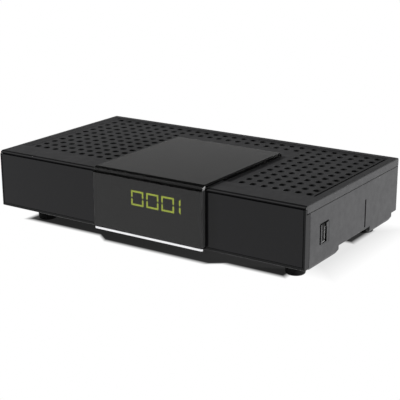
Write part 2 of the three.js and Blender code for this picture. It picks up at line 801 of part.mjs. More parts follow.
function hdmiSocket() {
  const mouthY = panelOuterY + hdmiProud;
  const rearEndY = mouthY - hdmiLength;
  const shell = prism(hdmiOutline(0), 'y', rearEndY, mouthY);
  const hollow = prism(hdmiOutline(-hdmiSheet), 'y', rearEndY + hdmiSheet, mouthY + overrun);
  add('hdmi_shell', shell.subtract(hollow), 'steel');
  const tongueY = rearEndY + hdmiSheet + fitGap;
  const half = hdmiTongueThickness / 2;
  add('hdmi_tongue', box([hdmiOffset - hdmiTongueWidth / 2, hdmiOffset + hdmiTongueWidth / 2],
    [tongueY, tongueY + hdmiTongueLength], [hdmiZ() - half, hdmiZ() + half]), 'matteBlack');
}

function scartSocket() {
  const mouthY = panelOuterY + scartProud;
  const body = prism(scartOutline(0), 'y', mouthY - scartDepth, mouthY);
  const groove = prism(scartOutline(-scartRim), 'y', mouthY - scartGrooveDepth, mouthY + overrun);
  const core = prism(scartOutline(-scartRim - scartGroove), 'y', mouthY - scartDepth, mouthY - fitGap);
  let socket = body.subtract(groove).add(core);
  for (const row of [-1, 1]) {
    const slotZ = scartZ() + row * scartRowSpacing / 2;
    for (let contact = 0; contact < scartContacts; contact += 1) {
      const shift = (row * 0.5 + contact - (scartContacts - 1) / 2) * scartSlotPitch;
      const slotX = scartOffset + shift - row * scartSlotPitch / 4;
      socket = socket.subtract(box([slotX - scartSlotWidth / 2, slotX + scartSlotWidth / 2],
        [mouthY - scartSlotDepth, mouthY + overrun], [slotZ - scartSlotHeight / 2, slotZ + scartSlotHeight / 2]));
    }
  }
  add('scart_socket', socket, 'matteBlack');
}

function aerialSocket() {
  const tipY = rearY + socketReach;
  const rootY = panelInnerY - fitGap;
  const profile = [
    [0, rootY - aerialNutHeight],
    [aerialDiameter / 2, rootY - aerialNutHeight],
    [aerialDiameter / 2, tipY],
    [aerialBore / 2, tipY],
    [aerialBore / 2, tipY - aerialBoreDepth],
    [aerialPinHole / 2, tipY - aerialBoreDepth],
    [aerialPinHole / 2, tipY - aerialBoreDepth - aerialPinDepth],
    [0, tipY - aerialBoreDepth - aerialPinDepth],
  ];
  add('aerial_socket', turned(profile, 'y', [aerialOffset, 0, aerialZ()]), 'steel');
  const nutY = panelOuterY + fitGap;
  const hexagon = rod(aerialNutWidth, 'y', nutY, nutY + aerialNutHeight, [aerialOffset, aerialZ()], 6);
  const hole = rod(aerialDiameter + 2 * fitGap, 'y', nutY - overrun, nutY + aerialNutHeight + overrun,
    [aerialOffset, aerialZ()]);
  add('aerial_nut', hexagon.subtract(hole), 'steel');
  const canY = rootY - aerialNutHeight - fitGap;
  const can = roundedRectangle(aerialOffset, (2 * canY - tunerLength) / 2, tunerWidth, tunerLength, cornerRadius);
  add('tuner_can', prism(can, 'z', boardTopZ + fitGap, aerialZ() + tunerHeight / 2, { bevel: seamGroove, steps: 1 }),
    'steel');
}

function audioSocket() {
  const faceY = panelOuterY + hdmiProud;
  const tipY = panelOuterY + audioReach;
  const bodyRear = panelInnerY - fitGap;
  const block = box([audioOffset - audioBodyWidth / 2, audioOffset + audioBodyWidth / 2],
    [bodyRear - audioBodyDepth, bodyRear], [boardTopZ + fitGap, boardTopZ + fitGap + audioBodyHeight]);
  const flange = rod(audioFlangeDiameter, 'y', bodyRear - fitGap, faceY, [audioOffset, audioZ()]);
  const seat = rod(audioDiameter + 2 * fitGap, 'y', bodyRear - wall, faceY + overrun, [audioOffset, audioZ()]);
  add('audio_socket_body', block.add(flange).subtract(seat), 'orangePlastic');
  const profile = [
    [0, bodyRear - wall + fitGap],
    [audioDiameter / 2, bodyRear - wall + fitGap],
    [audioDiameter / 2, tipY],
    [audioBore / 2, tipY],
    [audioBore / 2, tipY - audioBoreDepth],
    [0, tipY - audioBoreDepth],
  ];
  add('audio_socket_ring', turned(profile, 'y', [audioOffset, 0, audioZ()]), 'steel');
}

function powerSocket() {
  const faceY = panelOuterY + powerProud;
  const bodyRear = panelInnerY - fitGap;
  const block = box([powerOffset - powerBodyWidth / 2, powerOffset + powerBodyWidth / 2],
    [bodyRear - powerBodyDepth, bodyRear], [boardTopZ + fitGap, boardTopZ + fitGap + powerBodyHeight]);
  const nose = rod(powerNoseDiameter, 'y', bodyRear - fitGap, faceY, [powerOffset, powerZ()]);
  const mouth = rod(powerBore, 'y', faceY - powerBoreDepth, faceY + overrun, [powerOffset, powerZ()]);
  add('power_socket_body', block.add(nose).subtract(mouth), 'matteBlack');
  const pinY = faceY - powerBoreDepth + fitGap;
  add('power_socket_pin', rod(powerPinDiameter, 'y', pinY, pinY + powerPinLength, [powerOffset, powerZ()], smallSides),
    'steel');
}

// Rocker switch: its housing is held by the panel, and the rocker swings on two pins in it

function rockerSwitch() {
  const outerY = panelOuterY + fitGap + switchFlangeThickness;
  const pivotY = outerY - rockerPivotDepth;
  const flange = roundedRectangle(switchOffset, switchZ, switchFlangeWidth, switchFlangeHeight, cornerRadius);
  const halfBody = [switchBodyWidth / 2, switchBodyHeight / 2];
  let housing = prism(flange, 'y', panelOuterY + fitGap, outerY, { bevel: seamGroove, steps: 1 });
  housing = housing.add(box([switchOffset - halfBody[0], switchOffset + halfBody[0]],
    [panelOuterY - switchBodyDepth, panelOuterY + 2 * fitGap], [switchZ - halfBody[1], switchZ + halfBody[1]]));
  const halfWidth = halfBody[0] - switchWall;
  const halfMouth = rockerRadius + fitGap;
  housing = housing.subtract(box([switchOffset - halfWidth, switchOffset + halfWidth],
    [panelOuterY - switchBodyDepth + switchWall, outerY + overrun], [switchZ - halfMouth, switchZ + halfMouth]));
  const pinReach = halfWidth - fitGap + rockerPinLength;
  housing = housing.subtract(rod(rockerPinDiameter + 2 * runningGap, 'x', switchOffset - pinReach - fitGap,
    switchOffset + pinReach + fitGap, [pivotY, switchZ]));
  add('rocker_housing', housing, 'matteBlack');

  const profile = new THREE.Shape();
  const rise = Math.asin(rockerEndRise / rockerRadius);
  const sink = Math.asin(rockerSkirt / rockerRadius);
  profile.absarc(0, 0, rockerRadius, Math.PI / 2 - rise, Math.PI / 2 + sink, false);
  profile.lineTo(-rockerBack, 0);
  profile.absarc(0, 0, rockerRadius, Math.PI * 1.5 - sink, Math.PI * 1.5 + rise, false);
  profile.lineTo(rockerMidRise, 0);
  const halfRocker = halfWidth - fitGap;
  const blade = prism(profile, 'x', -halfRocker, halfRocker);
  const pins = rod(rockerPinDiameter, 'x', -pinReach, pinReach, [0, 0], smallSides);
  const rocker = blade.add(pins);
  add('power_rocker', rocker, 'satinBlack');
  const mesh = receiver.getObjectByName('power_rocker');
  mesh.position.set(switchOffset, pivotY, switchZ);
  mesh.rotation.x = rockerTilt;
}

// Standby key: it slides in a collar behind the wall and presses a small switch on the board

function standbyKey() {
  const tipX = -sideX - keyProud;
  const flangeX = -innerX + fitGap;
  const stemX = flangeX + keyFlangeThickness;
  const button = roundedRectangle(keyY, keyZ, keyLength, keyHeight, keyHeight / 2);
  const flange = roundedRectangle(keyY, keyZ, keyLength + 2 * keyFlange, keyHeight + 2 * keyFlange,
    keyHeight / 2 + keyFlange);
  const stemEndX = stemX + keyCollarDepth;
  const key = joined([
    prism(button, 'x', tipX, stemX, { bevel: seamGroove, steps: 1 }),
    prism(flange, 'x', flangeX, stemX),
    rod(keyStemDiameter, 'x', stemX - fitGap, stemEndX, [keyY, keyZ], smallSides),
  ]);
  add('standby_key', key, 'satinBlack');
  const plungerX = stemEndX + fitGap;
  const bodyX = plungerX + keyTravel + fitGap;
  add('switch_plunger', rod(plungerDiameter, 'x', plungerX, plungerX + plungerLength, [keyY, keyZ], smallSides),
    'greyPlastic');
  const body = box([bodyX, bodyX + tactDepth], [keyY - tactWidth / 2, keyY + tactWidth / 2],
    [boardTopZ + fitGap, boardTopZ + fitGap + tactHeight]);
  const guide = rod(plungerDiameter + 2 * fitGap, 'x', bodyX - overrun, plungerX + plungerLength + keyTravel + fitGap,
    [keyY, keyZ], smallSides);
  add('standby_switch', body.subtract(guide), 'matteBlack');
}

// Main board with its parts

function mainBoard() {
  let board = box([-boardX, boardX], [boardFrontY, boardRearY], [boardLowZ, boardTopZ]);
  for (const { x, y } of boardScrewPlaces) {
    board = board.subtract(rod(bore, 'z', boardLowZ - overrun, boardTopZ + overrun, [x, y], smallSides));
  }
  for (const side of [-1, 1]) {
    const notch = [side * windowX, side * (boardX + overrun)].sort((a, b) => a - b);
    board = board.subtract(box(notch,
      [coverScrewY - coverPostDiameter / 2 - fitGap, boardRearY + overrun], [boardLowZ - overrun, boardTopZ + overrun]));
  }
  const switchNotch = [panelOuterY - switchBodyDepth - fitGap, boardRearY + overrun];
  board = board.subtract(box(grown(switchOffset, switchBodyWidth), switchNotch,
    [boardLowZ - overrun, boardTopZ + overrun]));
  add('main_board', board, 'circuitGreen');

  const chipY = frontY + chipPlace;
  const chipZ = boardTopZ + fitGap;
  add('main_chip', box([chipOffset - chipSize / 2, chipOffset + chipSize / 2],
    [chipY - chipSize / 2, chipY + chipSize / 2], [chipZ, chipZ + chipHeight]), 'matteBlack');
  const sinkZ = chipZ + chipHeight + fitGap;
  const half = sinkSize / 2;
  const plate = box([chipOffset - half, chipOffset + half], [chipY - half, chipY + half], [sinkZ, sinkZ + sinkBase]);
  const fins = Array.from({ length: sinkFins }, (unused, index) => {
    const x = chipOffset - half + index * (sinkSize - sinkFinThickness) / (sinkFins - 1);
    return box([x, x + sinkFinThickness], [chipY - half, chipY + half], [sinkZ, sinkZ + sinkHeight]);
  });
  add('heat_sink', joined([plate, ...fins]), 'aluminium');

  for (const [index, name] of ['left', 'middle', 'right'].entries()) {
    const x = capacitorOffset + index * capacitorPitch;
    const radius = capacitorDiameter / 2;
    const profile = [
      [0, 0],
      [radius, 0],
      [radius, capacitorHeight - capacitorEdge],
      [radius - capacitorEdge, capacitorHeight],
      [0, capacitorHeight],
    ];
    add(`capacitor_${name}`, turned(profile, 'z', [x, frontY + capacitorPlace, boardTopZ + fitGap]), 'aluminium');
  }
  const coilX = capacitorOffset;
  const coilY = frontY + capacitorPlace + 2 * capacitorPitch;
  const coil = roundedRectangle(coilX, coilY, inductorSize, inductorSize, inductorCorner);
  add('power_inductor', prism(coil, 'z', boardTopZ + fitGap, boardTopZ + fitGap + inductorHeight), 'greyPlastic');
}

// Display board behind the frame, with the digit module, the remote-control eye and its ribbon

function displayUnit() {
  const [left, right] = standoffPlaces();
  const reach = standoffDiameter / 2 + displayBoardMargin;
  let board = box([left.x - reach, right.x + reach],
    [displayBoardFrontY, displayBoardRearY], [displayBoardLowZ, displayBoardTopZ]);
  for (const { x, z } of standoffPlaces()) {
    const hole = rod(bore, 'y', displayBoardFrontY - overrun, displayBoardRearY + overrun, [x, z], smallSides);
    board = board.subtract(hole);
  }
  add('display_board', board, 'circuitGreen');
  add('display_module', box([displayOffset - displayWidth / 2, displayOffset + displayWidth / 2],
    [displayFrontY, displayFrontY + displayDepth], [displayZ - displayHeight / 2, displayZ + displayHeight / 2]),
    'darkGlass');

  const eyeY = displayBoardFrontY - fitGap;
  const eyeX = receiverX();
  const block = box([eyeX - receiverWidth / 2, eyeX + receiverWidth / 2], [eyeY - receiverDepth, eyeY],
    [displayZ - receiverHeight / 2, displayZ + receiverHeight / 2]);
  const dome = new THREE.SphereGeometry(receiverDome, smallSides, smallSides / 2);
  dome.translate(eyeX, eyeY - receiverDepth, displayZ);
  add('remote_eye', block.add(solid(dome)), 'darkGlass');

  const headerY = boardFrontY + headerDepth;
  const headerZ = boardTopZ + fitGap;
  add('ribbon_header', box([ribbonOffset - headerWidth / 2, ribbonOffset + headerWidth / 2],
    [headerY - headerDepth / 2, headerY + headerDepth / 2], [headerZ, headerZ + headerHeight]), 'whitePlastic');
  const startY = displayBoardRearY + fitGap;
  const endZ = headerZ + headerHeight + fitGap;
  const span = headerY - startY;
  const startZ = endZ + span;
  const route = new THREE.CubicBezierCurve3(
    new THREE.Vector3(ribbonOffset, startY, startZ),
    new THREE.Vector3(ribbonOffset, (startY + headerY) / 2, startZ),
    new THREE.Vector3(ribbonOffset, headerY, (startZ + endZ) / 2),
    new THREE.Vector3(ribbonOffset, headerY, endZ),
  );
  const section = outline([
    [-ribbonWidth / 2, -ribbonThickness / 2],
    [ribbonWidth / 2, -ribbonThickness / 2],
    [ribbonWidth / 2, ribbonThickness / 2],
    [-ribbonWidth / 2, ribbonThickness / 2],
  ]);
  const ribbon = new THREE.ExtrudeGeometry(section, { extrudePath: route, steps: roundSides, bevelEnabled: false });
  add('ribbon_cable', solid(ribbon), 'greyPlastic');
}

// Side socket, its opening standing upright in the recess of the right wall

function usbSocket() {
  const innerEndX = usbMouthX - usbLength;
  const shell = box([innerEndX, usbMouthX], [usbY - usbWidth / 2, usbY + usbWidth / 2],
    [usbZ - usbHeight / 2, usbZ + usbHeight / 2]);
  const half = [usbWidth / 2 - usbSheet, usbHeight / 2 - usbSheet];
  const hollow = box([innerEndX + usbSheet, usbMouthX + overrun], [usbY - half[0], usbY + half[0]],
    [usbZ - half[1], usbZ + half[1]]);
  add('usb_shell', shell.subtract(hollow), 'steel');
  const tongueX = innerEndX + usbSheet + fitGap;
  add('usb_tongue', box([tongueX, tongueX + usbTongueLength],
    [usbY + half[0] - fitGap - usbTongueThickness, usbY + half[0] - fitGap],
    [usbZ - usbTongueWidth / 2, usbZ + usbTongueWidth / 2]), 'whitePlastic');
}

// Feet and screws

function foot(name, x, y) {
  const radius = footDiameter / 2;
  const topHeight = baseZ - fitGap;
  const profile = [[0, footRecessDepth], [footRecessDiameter / 2, footRecessDepth], [footRecessDiameter / 2, 0]];
  const rim = radius - footTaper;
  for (let step = 0; step <= arcSteps; step += 1) {
    const angle = step / arcSteps * Math.PI / 2;
    profile.push([rim - footEdgeRadius * (1 - Math.sin(angle)), footEdgeRadius * (1 - Math.cos(angle))]);
  }
  profile.push([radius, topHeight], [0, topHeight]);
  const body = turned(profile, 'z', [x, y, 0], fineSides);
  const hole = rod(bore, 'z', footRecessDepth - overrun, topHeight + overrun, [x, y], smallSides);
  add(`foot_${name}`, body.subtract(hole), 'rubber');
}

// A screw lying along its own axis: head first, slot across the head
function screw(length) {
  const head = rod(screwHeadDiameter, 'z', -screwHeadHeight, 0, [0, 0], smallSides);
  const shank = rod(screwDiameter, 'z', -fitGap, length, [0, 0], smallSides);
  const slot = box([-screwHeadDiameter, screwHeadDiameter], [-screwSlot / 2, screwSlot / 2],
    [-screwHeadHeight - overrun, -screwHeadHeight / 2]);
  return head.add(shank).subtract(slot);
}

function addScrew(name, length, [x, y, z], turn) {
  add(name, screw(length), 'steel');
  const mesh = receiver.getObjectByName(name);
  mesh.position.set(x, y, z);
  mesh.rotation.x = turn;
}

function screws() {
  for (const { name, x, y } of footPlaces) {
    foot(name, x, y);
    addScrew(`foot_screw_${name}`, footScrewLength, [x, y, footRecessDepth - fitGap], 0);
  }
  for (const { name, x, y } of boardScrewPlaces) {
    addScrew(`board_screw_${name}`, boardScrewLength - fitGap, [x, y, boardTopZ + fitGap], Math.PI);
  }
  for (const { name, x, z } of standoffPlaces()) {
    const y = displayBoardRearY + fitGap;
    addScrew(`display_screw_${name}`, displayStandoff, [x, y, z], Math.PI / 2);
  }
  for (const [side, name] of [[-1, 'left'], [1, 'right']]) {
    const z = coverPostTopZ - coverPostTop - fitGap;
    addScrew(`cover_screw_${name}`, coverScrewLength, [side * coverScrewX, coverScrewY, z], 0);
  }
}

add('top_cover', topCover(), 'matteBlack');
add('base_shell', baseShell(), 'matteBlack');
add('front_frame', frontFrame(), 'satinBlack');
const [leftSpan, rightSpan] = panelSpans();
const panelY = [frontY, frontY + panelThickness];
add('left_front_panel', panelPlate(leftSpan, panelY, 0), 'glossBlack');
add('right_front_panel', panelPlate(rightSpan, panelY, 0), 'glossBlack');
add('centre_cover', centreCover(), 'glossBlack');
add('bright_strip', brightStrip(), 'chrome');
add('rear_panel', rearPanel(), 'matteBlack');
mainBoard();
displayUnit();
usbSocket();
aerialSocket();
hdmiSocket();
scartSocket();
audioSocket();
powerSocket();
rockerSwitch();
standbyKey();
screws();

export default receiver;
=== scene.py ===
"""Looks of a set-top receiver for satellite television, dressed over its fixed frame."""
import logging
import math
from collections.abc import Sequence
from dataclasses import dataclass
from enum import Enum
from functools import cache

import bmesh
import bpy
from mathutils import Matrix, Vector


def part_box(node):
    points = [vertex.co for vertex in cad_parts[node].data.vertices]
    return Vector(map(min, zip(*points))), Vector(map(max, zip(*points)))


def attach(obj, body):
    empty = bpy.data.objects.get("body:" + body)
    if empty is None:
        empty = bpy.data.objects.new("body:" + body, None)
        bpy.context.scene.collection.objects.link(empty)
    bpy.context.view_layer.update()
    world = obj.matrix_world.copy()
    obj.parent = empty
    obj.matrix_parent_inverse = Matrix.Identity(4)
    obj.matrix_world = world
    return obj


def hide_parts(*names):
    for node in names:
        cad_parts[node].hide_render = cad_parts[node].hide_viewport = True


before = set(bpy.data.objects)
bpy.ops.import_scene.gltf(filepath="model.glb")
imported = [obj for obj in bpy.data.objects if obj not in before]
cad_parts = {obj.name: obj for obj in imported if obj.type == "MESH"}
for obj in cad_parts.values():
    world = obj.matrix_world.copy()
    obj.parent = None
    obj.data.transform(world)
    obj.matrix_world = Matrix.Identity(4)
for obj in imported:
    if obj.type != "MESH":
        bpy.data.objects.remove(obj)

MM = 0.001
log = logging.getLogger("receiver")

Point = tuple[float, float, float]
Flat = tuple[float, float]
Span = tuple[float, float]
Area = tuple[Span, Span]
Colour = tuple[float, float, float]
Piece = bpy.types.Object
Socket = bpy.types.NodeSocket


class Axis(Enum):
    """The direction that a form is drawn out along."""

    X = 0
    Y = 1
    Z = 2

    def place(self, u: float, v: float, w: float) -> Point:
        """Turn a point of the section and its distance along the axis into x, y and z."""
        return {Axis.X: (w, u, v), Axis.Y: (u, w, v), Axis.Z: (u, v, w)}[self]


class Join(Enum):
    """What is done with a second form."""

    CUT = "DIFFERENCE"
    ADD = "UNION"


class Body(Enum):
    """The bodies that pieces ride on."""

    HOUSING = "housing"
    ROCKER = "rocker"
    KEY = "key"


# Meshes


def inset(span: Span, by: float) -> Span:
    """Draw a span in at both ends."""
    return span[0] + by, span[1] - by


def reach(node: str) -> list[Span]:
    """Give the reach of a solid in x, y and z, in millimetres."""
    return [(low / MM, high / MM) for low, high in zip(*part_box(node))]


def link(name: str, mesh: bpy.types.Mesh) -> Piece:
    """Put a mesh in the scene.

    Args:
        name: Name of the piece.
        mesh: Its mesh.

    Returns:
        The piece.
    """
    piece = bpy.data.objects.new(name, mesh)
    bpy.context.scene.collection.objects.link(piece)
    return piece


def mesh_piece(name: str, points: Sequence[Point], faces: Sequence[Sequence[int]]) -> Piece:
    """Make a piece from points in millimetres, with its doubles merged and its faces outward.

    Args:
        name: Name of the piece.
        points: Points in millimetres.
        faces: Point numbers of each face, none for a piece of loose points.

    Returns:
        The piece, linked to the scene.
    """
    mesh = bpy.data.meshes.new(name)
    mesh.from_pydata([Vector(point) * MM for point in points], [], faces)
    if faces:
        net = bmesh.new()
        net.from_mesh(mesh)
        bmesh.ops.remove_doubles(net, verts=net.verts, dist=1e-7)
        bmesh.ops.recalc_face_normals(net, faces=net.faces)
        net.to_mesh(mesh)
        net.free()
    return link(name, mesh)


def skin_faces(count: int, rings: int, around: bool = False, first: int = 0) -> list[tuple[int, ...]]:
    """Number the faces of a skin over rings.

    Args:
        count: Points in each ring.
        rings: How many rings there are.
        around: Whether the last ring meets the first one again, instead of both being capped.
        first: Number of the first point.

    Returns:
        The point numbers of each face.
    """
    pairs = [(k, k + 1) for k in range(rings - 1)] + ([(rings - 1, 0)] if around else [])
    faces = [(a * count + i, a * count + (i + 1) % count, b * count + (i + 1) % count, b * count + i)
             for a, b in pairs for i in range(count)]
    if not around:
        faces += [tuple(range(count)), tuple(range((rings - 1) * count, rings * count))]
    return [tuple(first + number for number in face) for face in faces]


def skin(name: str, rings: Sequence[Sequence[Point]], around: bool = False) -> Piece:
    """Draw a closed skin over rings of equal length, capped at both ends unless it runs around."""
    points = [point for ring in rings for point in ring]
    return mesh_piece(name, points, skin_faces(len(rings[0]), len(rings), around))


def skin_along_x(name: str, sections: Sequence[tuple[float, Sequence[Flat]]]) -> Piece:
    """Draw a closed skin over sections in y and z, each at its own x."""
    return skin(name, [[(x, y, z) for y, z in section] for x, section in sections])


def arc(centre: Flat, radius: float, start: float, end: float, steps: int) -> list[Flat]:
    """Give the points of an arc between two angles in degrees."""
    turns = [math.radians(start + (end - start) * step / steps) for step in range(steps + 1)]
    return [(centre[0] + radius * math.cos(t), centre[1] + radius * math.sin(t)) for t in turns]


def rounded(u: Span, v: Span, radius: float, steps: int = 4) -> list[Flat]:
    """Draw a rectangle with rounded corners.

    Args:
        u: Its reach in the first direction.
        v: Its reach in the second direction.
        radius: Corner radius.
        steps: Steps in each corner.

    Returns:
        Its points, once round.
    """
    (u0, u1), (v0, v1) = inset(u, radius), inset(v, radius)
    corners = ((u1, v0, -90), (u1, v1, 0), (u0, v1, 90), (u0, v0, 180))
    return [point for a, b, start in corners for point in arc((a, b), radius, start, start + 90, steps)]


def quarter(radius: float, steps: int = 4) -> list[Flat]:
    """Give how far an edge of one radius draws in, and how far along that is, from end to wall."""
    turns = [math.pi / 2 * step / steps for step in range(steps + 1)]
    return [(radius * (1 - math.sin(turn)), radius * (1 - math.cos(turn))) for turn in turns]


def eased(span: Span, edges: Flat, steps: tuple[int, int]) -> list[Flat]:
    """Ease both ends of a form.

    Args:
        span: Its reach.
        edges: Edge radius at each end.
        steps: Steps in each edge.

    Returns:
        Pairs of inset and place, from end to end.
    """
    low = [(by, span[0] + along) for by, along in quarter(edges[0], steps[0])]
    high = [(by, span[1] - along) for by, along in quarter(edges[1], steps[1])]
    return low + high[::-1]


def block(name: str, x: Span, y: Span, z: Span, axis: Axis = Axis.Z, corner: float = 0.4,
          edge: float = 0.2, steps: int = 3) -> Piece:
    """Make a moulded block with rounded corners and softened end edges.

    Args:
        name: Name of the piece.
        x: Reach in x.
        y: Reach in y.
        z: Reach in z.
        axis: Direction that its rounded section is drawn along.
        corner: Corner radius of the section.
        edge: Radius of the edges at both ends.
        steps: Steps in each quarter turn.

    Returns:
        The closed piece.
    """
    u, v, w = {Axis.X: (y, z, x), Axis.Y: (x, z, y), Axis.Z: (x, y, z)}[axis]
    rings = []
    for by, place in eased(w, (edge, edge), (steps, steps)):
        section = rounded(inset(u, by), inset(v, by), max(corner - by, 0.02), steps)
        rings.append([axis.place(a, b, place) for a, b in section])
    return skin(name, rings)


def tool(x: Span, y: Span, z: Span, corner: float = 0.05, edge: float = 0.02, steps: int = 1) -> Piece:
    """Make a block that is cut from a piece or added to it."""
    return block("tool", x, y, z, Axis.Z, corner, edge, steps)


def lathe(name: str, profile: Sequence[Flat], axis: Axis, centre: Flat, sides: int = 40,
          around: bool = False) -> Piece:
    """Turn a profile, pairs of radius and place along the axis, about an axis through the centre."""
    return skin(name, [[axis.place(u, v, h) for u, v in arc(centre, r, 0, 360, sides)[:-1]]
                       for r, h in profile], around)


def flatten(piece: Piece) -> Piece:
    """Turn what the modifiers make into a plain mesh and take them off.

    Args:
        piece: The piece.

    Returns:
        The same piece.
    """
    graph = bpy.context.evaluated_depsgraph_get()
    graph.update()
    mesh = bpy.data.meshes.new_from_object(piece.evaluated_get(graph), depsgraph=graph)
    piece.modifiers.clear()
    piece.data = mesh
    return piece


def combine(piece: Piece, how: Join, *others: Piece) -> Piece:
    """Cut forms away from a piece, or add them to it.

    Args:
        piece: The piece that changes.
        how: Cut or add.
        *others: The forms, which are used up.

    Returns:
        The piece.
    """
    for other in others:
        step = piece.modifiers.new("step", "BOOLEAN")
        step.object, step.operation, step.solver = other, how.value, "MANIFOLD"
    flatten(piece)
    for other in others:
        bpy.data.objects.remove(other)
    return piece


def softened(name: str, node: str, width: float, limit: float = 40) -> Piece:
    """Copy a solid of the frame, merge it and break its sharp edges as moulding or pressing does.

    Args:
        name: Name of the new piece.
        node: The solid.
        width: Width of the broken edge, none for 0.
        limit: Edges sharper than this many degrees are broken.

    Returns:
        The piece.
    """
    net = bmesh.new()
    net.from_mesh(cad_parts[node].data)
    bmesh.ops.remove_doubles(net, verts=net.verts, dist=2e-6)
    bmesh.ops.dissolve_limit(net, angle_limit=math.radians(0.4), verts=net.verts, edges=net.edges)
    mesh = bpy.data.meshes.new(name)
    net.to_mesh(mesh)
    net.free()
    piece = link(name, mesh)
    if width > 0:
        edge = piece.modifiers.new("edge", "BEVEL")
        edge.width, edge.segments, edge.limit_method = width * MM, 2, "ANGLE"
        edge.angle_limit, edge.use_clamp_overlap = math.radians(limit), False
        box = [(min(side), max(side)) for side in zip(*(vertex.co for vertex in mesh.vertices))]
        flatten(piece)
        for vertex in piece.data.vertices:
            vertex.co = [min(max(place, low), high) for place, (low, high) in zip(vertex.co, box)]
    return piece


# Nodes


class Nodes:
    """A node tree with a shorthand for each kind of node that it uses."""

    family = "ShaderNode"

    def __init__(self, tree: bpy.types.NodeTree) -> None:
        """Keep the tree."""
        self.tree = tree

    def found(self, kind: str) -> bpy.types.Node:
        """Give the node of a type that the tree starts with."""
        return next(node for node in self.tree.nodes if node.type == kind)

    def feed(self, socket: Socket, value: object) -> None:
        """Link a socket to an output or to several, or set its value.

        Args:
            socket: The socket.
            value: An output, a list of outputs, or a value, where a colour may leave out its alpha.
        """
        if isinstance(value, (list, Socket)):
            for each in value if isinstance(value, list) else [value]:
                self.tree.links.new(each, socket)
        elif socket.type == "RGBA" and len(value) == 3:
            socket.default_value = (*value, 1)
        else:
            socket.default_value = value

    def add(self, kind: str, feeds: dict[str | int, object] | None = None,
            **settings: object) -> bpy.types.Node:
        """Add a node and feed it.

        Args:
            kind: Its type name, which may leave out the start that the family shares.
            feeds: What goes into its inputs, by name or number.
            **settings: Properties to set on it.

        Returns:
            The node.
        """
        node = self.tree.nodes.new(kind if "Node" in kind else self.family + kind)
        for key, value in settings.items():
            setattr(node, key, value)
        for key, value in (feeds or {}).items():
            self.feed(node.inputs[key], value)
        return node

    def out(self, kind: str, feeds: dict[str | int, object] | None = None, **settings: object) -> Socket:
        """Add a node and give its first output."""
        return self.add(kind, feeds, **settings).outputs[0]

    def math(self, operation: str, *values: object) -> Socket:
        """Work out one sum from outputs or numbers."""
        return self.out("ShaderNodeMath", dict(enumerate(values)), operation=operation)

    def vector(self, x: object = 0.0, y: object = 0.0, z: object = 0.0) -> Socket:
        """Put three numbers together."""
        return self.out("ShaderNodeCombineXYZ", {0: x, 1: y, 2: z})

    def split(self, vector: Socket) -> Sequence[Socket]:
        """Give the x, y and z of a vector."""
        return self.add("ShaderNodeSeparateXYZ", {0: vector}).outputs

    def remap(self, value: Socket, low: float, high: float, start: float = 0.3, end: float = 0.7) -> Socket:
        """Carry a value from the reach between start and end to the one between low and high."""
        return self.out("MapRange", dict(enumerate((value, start, end, low, high))), clamp=True)

    def blend(self, share: object, first: object, second: object, how: str = "MIX") -> Socket:
        """Mix a share of a second colour into a first one."""
        feeds = {0: share, 6: first, 7: second}
        return self.add("Mix", feeds, data_type="RGBA", blend_type=how).outputs[2]

    def seen(self, *rays: str) -> Socket:
        """Tell whether a ray is of one of a few kinds.

        Args:
            *rays: The kinds.

        Returns:
            1 where it is, or else 0.
        """
        path = self.add("LightPath").outputs
        told = path[f"Is {rays[0]} Ray"]
        for ray in rays[1:]:
            told = self.math("MAXIMUM", told, path[f"Is {ray} Ray"])
        return told


class Graph(Nodes):
    """The nodes of one material round its shader."""

    def __init__(self, name: str) -> None:
        """Start a material with one principled shader.

        Args:
            name: Name of the material.
        """
        self.material = bpy.data.materials.new(name)
        self.material.use_nodes = True
        super().__init__(self.material.node_tree)
        self.shader = self.found("BSDF_PRINCIPLED")
        self.object = self.add("TexCoord").outputs["Object"]

    def noise(self, size: float, detail: float = 2, stretch: Point = (1, 1, 1)) -> Socket:
        """Make noise from 0 to 1 whose features are about one size in millimetres."""
        place = self.out("Mapping", {"Vector": self.object, "Scale": stretch})
        return self.out("TexNoise", {"Vector": place, "Scale": 1 / (size * MM), "Detail": detail})

    def cloudy(self, colour: Colour, spread: float, size: float, detail: float) -> Socket:
        """Vary a colour by a share, darker and lighter, in soft patches of a size in millimetres."""
        low, high = (tuple(c * share for c in colour) for share in (1 - spread, 1 + spread))
        return self.blend(self.remap(self.noise(size, detail), 0, 1), low, high)

    def relief(self, height: Socket, depth: float) -> None:
        """Bump the surface by a height from 0 to 1 over a depth in millimetres."""
        bump = self.out("Bump", {"Strength": 1.0, "Distance": depth * MM, "Height": height})
        self.feed(self.shader.inputs["Normal"], bump)

    def set(self, **values: object) -> None:
        """Feed sockets of the shader, an underscore standing for a space."""
        for key, value in values.items():
            self.feed(self.shader.inputs[key.replace("_", " ")], value)


# Finishes


@dataclass(frozen=True)
class Finish:
    """What every finish has: a name, the slot it fills and a colour."""

    name: str
    slot: str
    colour: Colour

    def dress(self, graph: Graph) -> None:
        """Set up the shader; each kind of finish does it in its own way."""

    def paint(self) -> bpy.types.Material:
        """Build the material.

        Returns:
            The material.
        """
        graph = Graph(self.name)
        self.dress(graph)
        return graph.material


@dataclass(frozen=True)
class Plastic(Finish):
    """Moulded plastic or rubber with grain, a faint unevenness and handled patches."""

    roughness: float
    grain: float = 0.7
    depth: float = 0.012
    spread: float = 0.1
    specular: float = 0.5

    def dress(self, graph: Graph) -> None:
        """Set up the shader.

        Args:
            graph: Nodes of the material.
        """
        fine = graph.noise(self.grain)
        tone = graph.blend(graph.remap(fine, 0, 0.5, 0.35, 0.75),
                           graph.cloudy(self.colour, self.spread, 14, 3), tuple(c * 1.5 for c in self.colour))
        graph.set(Base_Color=tone, Specular_IOR_Level=self.specular,
                  Roughness=graph.remap(graph.noise(5, 4), self.roughness - 0.05, self.roughness + 0.06))
        graph.relief(fine, self.depth)


